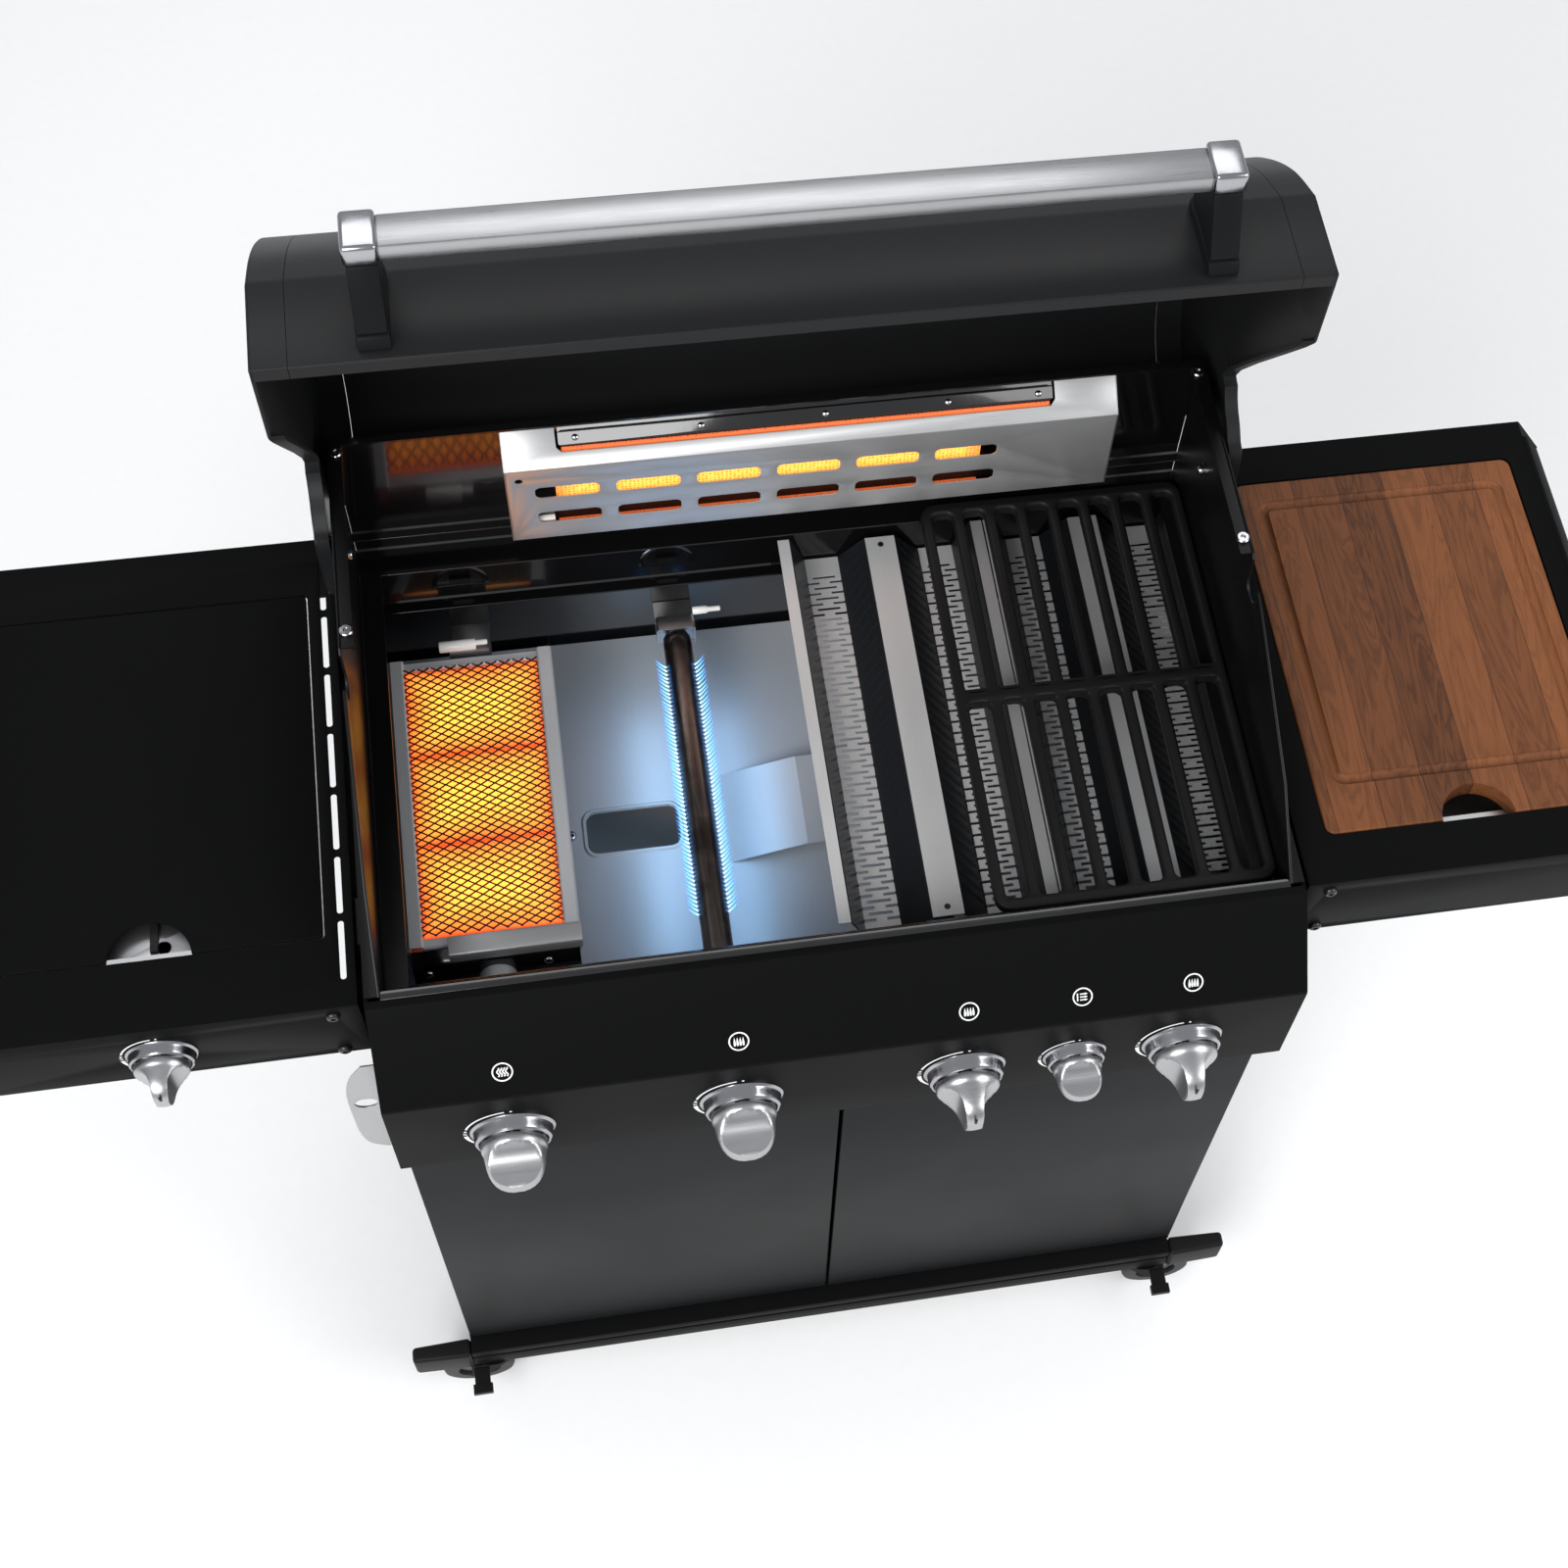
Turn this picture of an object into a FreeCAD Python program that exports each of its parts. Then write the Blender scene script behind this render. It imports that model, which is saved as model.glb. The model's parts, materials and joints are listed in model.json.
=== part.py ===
import FreeCAD, Part
import math
import os
import re

# Free-standing gas barbecue with its lid raised, in millimetres.
# Sub-parts are drawn in the deck frame: x to the right, y to the back from the front edge of
# the side tables, z up from the table tops.  The placement of each sub-part then sets the deck
# at its height above the floor, so the assembly stands on z = 0.

doc = FreeCAD.newDocument("barbecue")
sheet = doc.addObject("Spreadsheet::Sheet", "Sheet")

DIMENSIONS = [
    # where the deck stands
    ("deck_height", 935), ("deck_front", -207.6),
    # side tables
    ("table_inner", 374.7), ("table_outer", 692.6), ("table_depth", 428), ("table_drop", 87.6),
    ("table_bevel", 19.6), ("table_sheet", 2.5), ("recess_inner", 396.6), ("recess_outer", 655),
    ("recess_front", 59), ("recess_back", 373.6), ("board_inner", 399), ("board_outer", 653.7),
    ("board_front", 42.6), ("board_back", 390.3), ("finger_radius", 32), ("slot_length", 49.3),
    ("slot_width", 5), ("slot_pitch", 55.7), ("slot_first", 47.8), ("slot_side", 384),
    ("cover_thick", 2), ("board_thick", 18), ("pan_depth", 40), ("pan_sheet", 1.5),
    ("edge_gap", 1),
    # cooking box
    ("box_half", 356.6), ("wall_thick", 2.5), ("box_depth", 428), ("box_floor", -230),
    ("rim_top", 9.5), ("rim_half", 369), ("back_top", 134), ("shelf_top", -23),
    ("lower_shelf", -82.3), ("baffle_level", -170), ("tray_half", 205), ("tray_long", 368),
    ("tray_tall", 26), ("tray_sheet", 1.5),
    # control panel
    ("panel_half", 368.5), ("panel_face", -67), ("panel_bend", -60), ("panel_foot", -185),
    ("panel_sheet", 2), ("knob_level", -125), ("bezel_radius", 34), ("bezel_height", 12),
    ("skirt_radius", 26.5), ("knob_reach", 51.5), ("grip_width", 15), ("shaft_radius", 4),
    ("burner_pitch", 182.5), ("small_knob_side", 183), ("side_knob_x", -528),
    ("side_knob_level", -46), ("small_scale", 0.78), ("side_scale", 0.8),
    # cabinet
    ("side_outer", 369.5), ("side_sheet", 3), ("side_front", -22), ("cabinet_back_y", 400),
    ("door_front", -33.4), ("door_foot", -787.6), ("door_top", -189), ("door_gap", 1.8),
    ("door_edge", 369), ("door_depth", 9), ("hinge_side", 365.5), ("hinge_y", -28.5),
    ("hinge_radius", 2.5), ("floor_top", -789.5), ("beam_top", -800.8), ("beam_foot", -843.2),
    ("beam_half", 370.3), ("beam_front", -47.3), ("beam_width", 60), ("bumper_half", 430),
    ("bumper_front", -50), ("bumper_rear", 390.7), ("bumper_deep", 20),
    # lid, drawn raised
    ("shell_half", 347), ("cap_half", 372.7), ("lid_sheet", 1.5), ("pivot_y", 362),
    ("pivot_z", 70), ("pivot_radius", 5), ("handle_half", 278), ("handle_end", 302),
    ("handle_front", 299), ("handle_deep", 28), ("handle_base", 494.5), ("handle_tall", 14.5),
    # burners
    ("tube_radius", 12.5), ("tube_level", -112), ("venturi_radius", 15), ("inlet_radius", 7),
    ("inlet_length", 40),
    # wheels
    ("wheel_radius", 37.5), ("wheel_width", 22), ("axle_radius", 4), ("swivel_side", 350),
    ("trail", 20), ("front_caster_y", -26), ("rear_caster_y", 375), ("running_gap", 0.05),
]
for row, (word, value) in enumerate(DIMENSIONS, start=1):
    sheet.set("A%d" % row, word)
    sheet.set("B%d" % row, str(value))
    sheet.setAlias("B%d" % row, word)
doc.recompute()
D = {word: float(sheet.get(word)) for word, _ in DIMENSIONS}

nodes = []
counter = [0]


def bind(thing, prop, value):
    """Tie a property to a sum of sheet cells, or set it when it is a plain number."""
    if isinstance(value, str):
        words = re.sub(r"[a-z_]+", lambda hit: "Sheet." + hit.group(0), value)
        thing.setExpression(prop, words)
    else:
        target = thing
        names = prop.split(".")
        for name in names[:-1]:
            target = getattr(target, name)
        if names[0] == "Placement":
            place = thing.Placement
            spot = list(place.Base)
            spot["xyz".index(names[-1])] = value
            thing.Placement = FreeCAD.Placement(FreeCAD.Vector(*spot), place.Rotation)
        else:
            setattr(target, names[-1], value)


def fresh(kind, hint):
    counter[0] += 1
    return doc.addObject(kind, "%s_%d" % (hint, counter[0]))


def put(thing, at):
    for axis, value in zip("xyz", at):
        bind(thing, "Placement.Base." + axis, value)
    return thing


def box(size, at):
    solid = fresh("Part::Box", "Box")
    for prop, value in zip(("Length", "Width", "Height"), size):
        bind(solid, prop, value)
    return put(solid, at)


TURNS = {
    "x": FreeCAD.Rotation(FreeCAD.Vector(0, 1, 0), 90),
    "-x": FreeCAD.Rotation(FreeCAD.Vector(0, 1, 0), -90),
    "y": FreeCAD.Rotation(FreeCAD.Vector(1, 0, 0), -90),
    "-y": FreeCAD.Rotation(FreeCAD.Vector(1, 0, 0), 90),
    "z": FreeCAD.Rotation(),
    "-z": FreeCAD.Rotation(FreeCAD.Vector(1, 0, 0), 180),
}


def rod(radius, length, at, along="z"):
    solid = fresh("Part::Cylinder", "Rod")
    bind(solid, "Radius", radius)
    bind(solid, "Height", length)
    solid.Placement = FreeCAD.Placement(FreeCAD.Vector(), TURNS[along])
    return put(solid, at)


def taper(radius_low, radius_high, length, at, along="z"):
    solid = fresh("Part::Cone", "Taper")
    bind(solid, "Radius1", radius_low)
    bind(solid, "Radius2", radius_high)
    bind(solid, "Height", length)
    solid.Placement = FreeCAD.Placement(FreeCAD.Vector(), TURNS[along])
    return put(solid, at)


def group(pieces):
    whole = fresh("Part::Compound", "Group")
    whole.Links = pieces
    return whole


def join(pieces):
    if len(pieces) == 1:
        return pieces[0]
    whole = fresh("Part::MultiFuse", "Joined")
    whole.Shapes = pieces
    whole.Refine = True
    return whole


def trim(base, tools):
    cut = fresh("Part::Cut", "Trimmed")
    cut.Base = base
    cut.Tool = join(tools) if isinstance(tools, list) else tools
    cut.Refine = True
    return cut


def rounded(base, radius, pick):
    """Fillet the edges of base that pick(edge) accepts."""
    doc.recompute()
    soft = fresh("Part::Fillet", "Rounded")
    soft.Base = base
    chosen = [i for i, edge in enumerate(base.Shape.Edges, start=1) if pick(edge)]
    soft.Edges = [(i, radius, radius) for i in chosen]
    return soft


def along_axis(edge, axis):
    ends = [v.Point for v in edge.Vertexes]
    if len(ends) != 2:
        return False
    run = ends[1] - ends[0]
    others = [getattr(run, name) for name in "xyz" if name != axis]
    return abs(getattr(run, axis)) > 1 and max(abs(value) for value in others) < 1e-6


PLANES = {"x": "YZ_Plane", "y": "XZ_Plane", "z": "XY_Plane"}


def draw(body, outline, axis):
    """A closed sketch of straight lines on one of the body's own origin planes."""
    sketch = body.newObject("Sketcher::SketchObject", "Sketch%d" % counter[0])
    counter[0] += 1
    plane = [f for f in body.Origin.OriginFeatures if f.Role == PLANES[axis]][0]
    sketch.AttachmentSupport = [(plane, "")]
    sketch.MapMode = "FlatFace"
    corners = [FreeCAD.Vector(u, v, 0) for u, v in outline]
    for start, end in zip(corners, corners[1:] + corners[:1]):
        sketch.addGeometry(Part.LineSegment(start, end), False)
    return sketch


def plate(outline, axis, start, length):
    """A body padded from an outline: across x in (y, z), across y in (x, z) or across z in
    (x, y).  It fills from start to start + length along that axis."""
    body = fresh("PartDesign::Body", "Plate")
    pad = body.newObject("PartDesign::Pad", "Pad%d" % counter[0])
    pad.Profile = draw(body, outline, axis)
    bind(pad, "Length", length)
    pad.Reversed = axis == "y"
    bind(body, "Placement.Base." + axis, start)
    return body


def smooth(points, steps=4):
    """Points along a Catmull-Rom curve through the given ones."""
    row = [points[0]] + points + [points[-1]]
    made = []
    for a, b, c, d in zip(row, row[1:], row[2:], row[3:]):
        for step in range(steps):
            t = step / steps
            made.append(tuple(
                0.5 * (2 * q + (r - p) * t + (2 * p - 5 * q + 4 * r - w) * t * t
                       + (3 * q - p - 3 * r + w) * t ** 3)
                for p, q, r, w in zip(a, b, c, d)))
    return made + [points[-1]]


def inward(points, gap):
    """An open line moved to its right-hand side by gap, with mitred corners."""
    made = []
    for i, (y, z) in enumerate(points):
        runs = []
        for a, b in ((i - 1, i), (i, i + 1)):
            if 0 <= a and b < len(points):
                dy, dz = points[b][0] - points[a][0], points[b][1] - points[a][1]
                size = math.hypot(dy, dz)
                runs.append((dz / size, -dy / size))
        ny = sum(r[0] for r in runs) / len(runs)
        nz = sum(r[1] for r in runs) / len(runs)
        size = ny * ny + nz * nz
        made.append((y + gap * ny / size, z + gap * nz / size))
    return made


def strip(points, gap):
    return points + inward(points, gap)[::-1]


def ribbon(points, gap, axis, start, length):
    """A bent sheet of thickness gap that follows the given line."""
    return plate(strip(points, gap), axis, start, length)


def node(label, thing):
    """Name a finished sub-part and set it on the deck."""
    if thing.Placement.Base.Length > 0 or thing.ExpressionEngine:
        thing = group([thing])
    thing.Label = label
    bind(thing, "Placement.Base.y", "deck_front")
    bind(thing, "Placement.Base.z", "deck_height")
    nodes.append(thing)
    return thing


SIDES = (("left", -1), ("right", 1))


def low_x(side, near, width):
    """The low x of a piece that starts near from the middle and is width wide, on one side."""
    return near if side > 0 else -(near + width)


# ---------------------------------------------------------------- cabinet
def cabinet():
    front_slope = (D["panel_bend"] - D["rim_top"]) / (D["panel_face"] + 3)
    shoulder = D["rim_top"] - 5 + front_slope * (D["side_front"] + 3)
    for name, side in SIDES:
        outline = [(D["side_front"], D["floor_top"]), (D["side_front"], shoulder),
                   (-4, D["rim_top"] - 3), (D["cabinet_back_y"], D["rim_top"] - 3),
                   (D["cabinet_back_y"], D["floor_top"])]
        start = low_x(side, D["side_outer"] - D["side_sheet"], D["side_sheet"])
        node("cabinet_side_" + name, plate(outline, "x", start, "side_sheet"))
    inner = D["side_outer"] - D["side_sheet"]
    back_foot, back_head = D["floor_top"] + 0.5, -266
    node("cabinet_back", box((2 * inner, 2, back_head - back_foot),
                             (-inner, "cabinet_back_y-2", back_foot)))
    tray = box((2 * inner, "cabinet_back_y-2-side_front", "floor_top-beam_top"),
               (-inner, "side_front", "beam_top"))
    hollow = box((2 * inner - 8, "cabinet_back_y-10-side_front", 8.3),
                 (-inner + 4, "side_front+4", "beam_top"))
    floor = [trim(tray, [hollow])]
    for _, side in SIDES:
        lug = box((12, 12, 3), (low_x(side, 357.5, 12), "hinge_y-5", "floor_top-3"))
        pin = rod("hinge_radius", 5, (side * D["hinge_side"], "hinge_y", "floor_top"))
        floor += [lug, pin]
    node("cabinet_floor", join(floor))
    beams = []
    for front in (D["beam_front"], D["cabinet_back_y"] - D["beam_width"] + 8):
        bar = box(("2*beam_half", "beam_width", "beam_top-beam_foot"),
                  ("-beam_half", front, "beam_foot"))
        beams.append(bar)
    groove = box(("2*beam_half", 1.5, 3), ("-beam_half", "beam_front", "beam_foot+25"))
    node("base_beams", group([trim(beams[0], [groove]), beams[1]]))
    bumpers = []
    for _, side in SIDES:
        near, outer = side * (D["beam_half"] + 0.5), side * D["bumper_half"]
        for front in (D["bumper_front"], D["bumper_rear"]):
            back = front + D["bumper_deep"]
            block = plate([(near, front), (outer, front + 2), (outer, back - 2), (near, back)],
                          "z", "beam_foot", "beam_top-beam_foot")
            bumpers.append(rounded(block, 5, lambda e: along_axis(e, "z")
                                   and abs(e.Vertexes[0].X - outer) < 1))
    node("corner_bumpers", group(bumpers))


def doors():
    for name, side in SIDES:
        near, far = D["door_gap"], D["door_edge"]
        tall = D["door_top"] - D["door_foot"]
        skin = box((far - near, "door_depth", tall), (low_x(side, near, far - near),
                                                      "door_front", "door_foot"))
        hollow = box((far - near - 4, "door_depth", tall - 4),
                     (low_x(side, near + 2, far - near - 4), "door_front+2", "door_foot+2"))
        holes = []
        for level in (D["door_foot"] - 1, D["door_top"] - 4):
            holes.append(rod("hinge_radius+running_gap", 5,
                             (side * D["hinge_side"], "hinge_y", level)))
        node("door_" + name, trim(skin, [hollow] + holes))


# ---------------------------------------------------------------- cooking box
def cooking_box():
    notch = [(205, 121), (205.5, 108), (208, 101), (212, 97.5), (216, 96.5), (220, 97.5),
             (224, 101), (227, 108), (229, 134)]
    top = [(0, D["rim_top"]), (63, 61), (171, 108), (201, 120)] + notch
    top += [(233, 136), (324, 136), (D["box_depth"], D["back_top"])]
    outline = [(0, D["box_floor"])] + top + [(D["box_depth"], D["box_floor"])]
    for name, side in SIDES:
        wall = plate(outline, "x", low_x(side, D["box_half"], D["wall_thick"]), "wall_thick")
        wide = D["rim_half"] - D["box_half"] - D["wall_thick"]
        rim = box((wide, "box_depth", "wall_thick"),
                  (low_x(side, D["box_half"] + D["wall_thick"], wide), 0, "rim_top-wall_thick"))
        pin_near = D["box_half"] + D["wall_thick"]
        pin = rod("pivot_radius", 12, (side * pin_near, "pivot_y", "pivot_z"),
                  "x" if side > 0 else "-x")
        node("firebox_side_" + name, join([wall, rim, pin]))
    width = 2 * D["box_half"]
    wall = box((width, "wall_thick", "rim_top-box_floor"), ("-box_half", 0, "box_floor"))
    ledge = box((width, 19.5, 2), ("-box_half", "wall_thick", "shelf_top-2"))
    lower = box((width, 41, 2), ("-box_half", "wall_thick", "lower_shelf-2"))
    lip = box((width, 3, "wall_thick"), ("-box_half", -3, "rim_top-wall_thick"))
    holes = []
    for bay in range(4):
        x = D["burner_pitch"] * (bay - 1.5)
        x = x - 3 if bay == 1 else x
        holes.append(rod("venturi_radius+0.5" if bay == 0 else "tube_radius+0.5", 8,
                         (x, -2, "tube_level"), "y"))
    node("firebox_front_wall", trim(join([wall, ledge, lower, lip]), holes))
    back = [(D["box_depth"], D["back_top"]), (D["box_depth"], -50), (410, -85),
            (410, D["box_floor"])]
    sheet_back = ribbon(back, -D["wall_thick"], "x", "-box_half", width)
    rear_shelf = box((width, 28, 2), ("-box_half", 400, "shelf_top-2"))
    lower_rear = box((width, 12, 2), ("-box_half", 399, "lower_shelf-2"))
    vents = []
    for middle in (-275, -96):
        vents.append(box((46, 20, 12), (middle - 23, 420, -46)))
    node("firebox_back_wall", trim(join([sheet_back, rear_shelf, lower_rear]), vents))
    base = box((2 * 352, 398, 1.5), (-352, 6, "baffle_level-1.5"))
    window = rounded(box((80, 40, 4), (-191, 189, "baffle_level-3")), 9,
                     lambda e: along_axis(e, "z"))
    drain = box((30, 200, 4), (120, 110, "baffle_level-3"))
    ramp = plate([(-72, -170), (-4, -150), (110, -150), (110, -151.5), (-4, -151.5),
                  (-67, -170)], "y", 166, 86)
    rails = []
    rail_foot, rail_tall, rail_long, rail_sheet, rail_lip = -264.3, 92.8, 370, 2, 8
    for _, side in SIDES:
        web_x = low_x(side, D["tray_half"] + 1, rail_sheet)
        lip_x = low_x(side, D["tray_half"] - 5, rail_lip)
        rails.append(box((rail_sheet, rail_long, rail_tall), (web_x, 26, rail_foot)))
        rails.append(box((rail_lip, rail_long, rail_sheet), (lip_x, 26, rail_foot)))
    node("grease_baffle", join([trim(base, [window, drain]), ramp] + rails))
    tray = box(("2*tray_half", "tray_long", "tray_tall"), ("-tray_half", 30, -262))
    inside = box(("2*tray_half-2*tray_sheet", "tray_long-2*tray_sheet", "tray_tall"),
                 ("tray_sheet-tray_half", "30+tray_sheet", "tray_sheet-262"))
    node("grease_tray", trim(tray, [inside]))


# ---------------------------------------------------------------- burners
def burners():
    left, right, front, back = -342, -204, 79, 349
    casing = box((right - left, back - front, 45), (left, front, -125))
    pocket = box((right - left - 24, back - front - 16, 12), (left + 12, front + 8, -92))
    venturi = rod("venturi_radius", 74, (-273.75, 5.5, "tube_level"), "y")
    node("infrared_burner_frame", trim(join([casing, venturi]), [pocket]))
    tiles = []
    for row in range(3):
        tiles.append(box((111, 81, 8), (left + 13.5, front + 10 + row * 84, -91.7)))
    node("infrared_ceramic_tiles", group(tiles))
    node("infrared_mesh", box((113, 253, 1.5), (left + 12.5, front + 8.5, -82.7)))
    tubes, brackets, igniters = [], [], []
    for bay in range(1, 4):
        x = D["burner_pitch"] * (bay - 1.5) - (3 if bay == 1 else 0)
        tube = rod("tube_radius", 364, (x, 4, "tube_level"), "y")
        flare = taper("tube_radius+1.5", "tube_radius", 26, (x, 4, "tube_level"), "y")
        hollow = rod("tube_radius-1.5", 330, (x, 4, "tube_level"), "y")
        tubes.append(trim(join([tube, trim(flare, [box((40, 2, 40), (x - 20, 4, -132))])]),
                          [hollow]))
        foot = box((34, 41, 2), (x - 17, 368.5, -126))
        stand = box((34, 2, 34), (x - 17, 368.5, -124))
        brackets.append(join([foot, stand]))
        igniters.append(rod(4, 26, (x + 8, 378, -94), "x"))
    igniters.append(rod(4, 34, (-298, 360, -78), "x"))
    node("tube_burners", group(tubes))
    foot = box((34, 58, 2), (-290, 352, -130))
    brackets.append(join([foot, box((34, 2, 50), (-290, 352, -128))]))
    node("burner_brackets", group(brackets))
    node("igniters", group(igniters))
    pipe = rod(9, 700, (-350, -26, "knob_level"), "x")
    turn = box((20, 34, 20), (330, -35, D["knob_level"] - 10))
    down = rod(6, 120, (340, -12, -248), "z")
    elbow = box((20, 20, 20), (330, -22, -258))
    inlet = rod("inlet_radius", "inlet_length", (340, -2, -248), "y")
    valves = [pipe, turn, down, elbow, inlet]
    for x in [D["burner_pitch"] * (bay - 1.5) for bay in range(4)] + [D["small_knob_side"]]:
        valves.append(box((26, 26, 28), (x - 13, -56, D["knob_level"] - 14)))
    node("gas_manifold", join(valves))


def back_burner():
    left, right, face, foot, bend = -224, 285, 400, 10, 107
    back = face + 26
    shell_line = [(back, foot), (face, foot), (face, bend), (back, bend + 24)]
    casing = ribbon(shell_line, 1.5, "x", left, right - left)
    ends = []
    for x in (left, right - 1.5):
        ends.append(plate([(face, foot), (face, bend), (back, bend + 24), (back, foot)],
                          "x", x, 1.5))
    slots = []
    for level in (67, 32):
        for column in range(6):
            slot = box((52.5, 6, 15), (-201 + 66.5 * column, face - 3, level))
            slots.append(rounded(slot, 5, lambda e: along_axis(e, "y")))
    node("back_burner_housing", trim(join([casing] + ends), slots))
    node("back_burner_ceramics", box((398, 10, 62), (-204, face + 8, 26)))


# ---------------------------------------------------------------- control panel and knobs
def control_panel():
    face_line = [(-3, D["rim_top"]), (-7, D["rim_top"]), (-11, D["rim_top"] - 2),
                 (D["panel_face"], D["panel_bend"]), (D["panel_face"], D["panel_foot"]),
                 (-58, D["panel_foot"])]
    sheet_front = ribbon(face_line, -D["panel_sheet"], "x", "-panel_half", "2*panel_half")
    pieces = [sheet_front]
    end = [(-24, D["panel_foot"]), (D["panel_face"], D["panel_foot"]),
           (D["panel_face"], D["panel_bend"]), (-24, -11)]
    holes = []
    for _, side in SIDES:
        pieces.append(plate(end, "x", low_x(side, D["panel_half"] - 2, 2), 2))
        pieces.append(box((12, 13.5, 2), (low_x(side, 356.5, 12), "hinge_y-7.5", "panel_foot")))
        pieces.append(rod("hinge_radius", 6.5, (side * D["hinge_side"], "hinge_y", "panel_foot-6")))
    for x in knob_places():
        holes.append(rod("shaft_radius+1.5", 8, (x, "panel_face-3", "knob_level"), "y"))
    node("control_panel", trim(join(pieces), holes))
    bezels = [bezel(x, D["panel_face"], D["knob_level"], 1 if i != 3 else D["small_scale"])
              for i, x in enumerate(knob_places())]
    bezels.append(bezel(D["side_knob_x"], 0, D["side_knob_level"], D["side_scale"]))
    node("knob_bezels", group(bezels))


def knob_places():
    row = [D["burner_pitch"] * (bay - 1.5) for bay in range(3)]
    return row + [D["small_knob_side"], D["burner_pitch"] * 1.5]


def bezel(x, y, z, scale):
    ring = taper(D["bezel_radius"] * scale, 28.5 * scale, D["bezel_height"] * scale,
                 (x, y, z), "-y")
    bore = rod("shaft_radius+1.5", 20, (x, y + 1, z), "-y")
    return trim(ring, [bore])


def knobs():
    names = ["knob_infrared", "knob_main_left", "knob_main_middle", "knob_back_burner",
             "knob_main_right"]
    places = [(x, D["panel_face"], D["knob_level"]) for x in knob_places()]
    scales = (1, 1, 1, D["small_scale"], 1)
    rows = list(zip(names, places, scales, (True, True, False, True, False)))
    place = (D["side_knob_x"], 0, D["side_knob_level"])
    rows.append(("knob_side_burner", place, D["side_scale"], False))
    for name, (x, y, z), scale, lit in rows:
        seat = y - D["bezel_height"] * scale - 0.4
        reach = (D["knob_reach"] - D["bezel_height"]) * scale - 0.4
        skirt = taper(D["skirt_radius"] * scale, 24 * scale, 8 * scale, (x, seat, z), "-y")
        wide, tall = D["grip_width"] * scale, 2 * 22 * scale
        if lit:
            wide, tall = tall, wide
        grip = box((wide, reach, tall), (x - wide / 2, seat - reach, z - tall / 2))
        grip = rounded(grip, 5 * scale, lambda e: along_axis(e, "y"))
        stem = rod("shaft_radius", y + 5 - seat + 2, (x, y + 5, z), "-y")
        node(name, join([skirt, grip, stem]))


# ---------------------------------------------------------------- side tables
def table_shell(side):
    inner, outer, drop = D["table_inner"], D["table_outer"], -D["table_drop"]
    bevel, skin = D["table_bevel"], D["table_sheet"]
    outline = [(inner, 0), (outer - bevel, 0), (outer, -bevel), (outer, drop), (inner, drop)]
    hollow = [(inner + skin, -skin), (outer - bevel - 1, -skin), (outer - skin, -bevel - 1),
              (outer - skin, drop - 1), (inner + skin, drop - 1)]
    if side < 0:
        outline = [(-x, z) for x, z in outline]
        hollow = [(-x, z) for x, z in hollow]
    shell = plate(outline, "y", 0, "table_depth")
    cavity = plate(hollow, "y", "table_sheet", "table_depth-2*table_sheet")
    corner = plate([(side * (outer - 20), D["table_depth"] + 1),
                    (side * (outer + 1), D["table_depth"] + 1),
                    (side * (outer + 1), D["table_depth"] - 17)], "z", -100, 110)
    slots = []
    vents = 7 if side < 0 else 0
    for step in range(vents):
        y = D["slot_first"] + step * D["slot_pitch"] - D["slot_length"] / 2
        slots.append(box(("slot_width", "slot_length", 6),
                         (low_x(side, D["slot_side"] - 2.5, D["slot_width"]), y, -4)))
    for level in (-15, -80):
        slots.append(rod(2.6, 6, (side * 395, -1, level), "y"))
    return shell, [cavity, corner] + slots


def tables():
    shell, cuts = table_shell(-1)
    near, far = D["recess_inner"], D["recess_outer"]
    cuts.append(box((far - near, D["recess_back"] - D["recess_front"], 10),
                    (-far, "recess_front", -6)))
    cuts.append(rod("shaft_radius+1.5", 8, ("side_knob_x", -3, "side_knob_level"), "y"))
    node("left_table", trim(shell, cuts))
    shell, cuts = table_shell(1)
    near, far = D["board_inner"], D["board_outer"]
    deep = D["board_back"] - D["board_front"]
    well = box((far - near + 3, deep + 3, 20.5), (near - 1.5, D["board_front"] - 1.5, -23))
    cuts.append(box((far - near, deep, 24), (near, "board_front", -20.5)))
    cuts.append(box((far - near - 16, deep - 16, 30), (near + 8, "board_front+8", -26)))
    hollow_first = trim(shell, cuts[:1])
    node("right_table", trim(join([hollow_first, well]), cuts[1:]))
    bolts = []
    for _, side in SIDES:
        for level in (-15, -80):
            shank = rod(2.5, 19.5, (side * 395, 0, level), "y")
            head = rod(5.5, 3, (side * 395, -3, level), "y")
            bolts.append(join([shank, head]))
        for y in (60, 330):
            near = D["side_outer"]
            block = box((D["table_inner"] - near, 40, 50), (low_x(side, near, 5.2), y, -70))
            bolts.append(block)
    node("table_fasteners", group(bolts))


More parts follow.
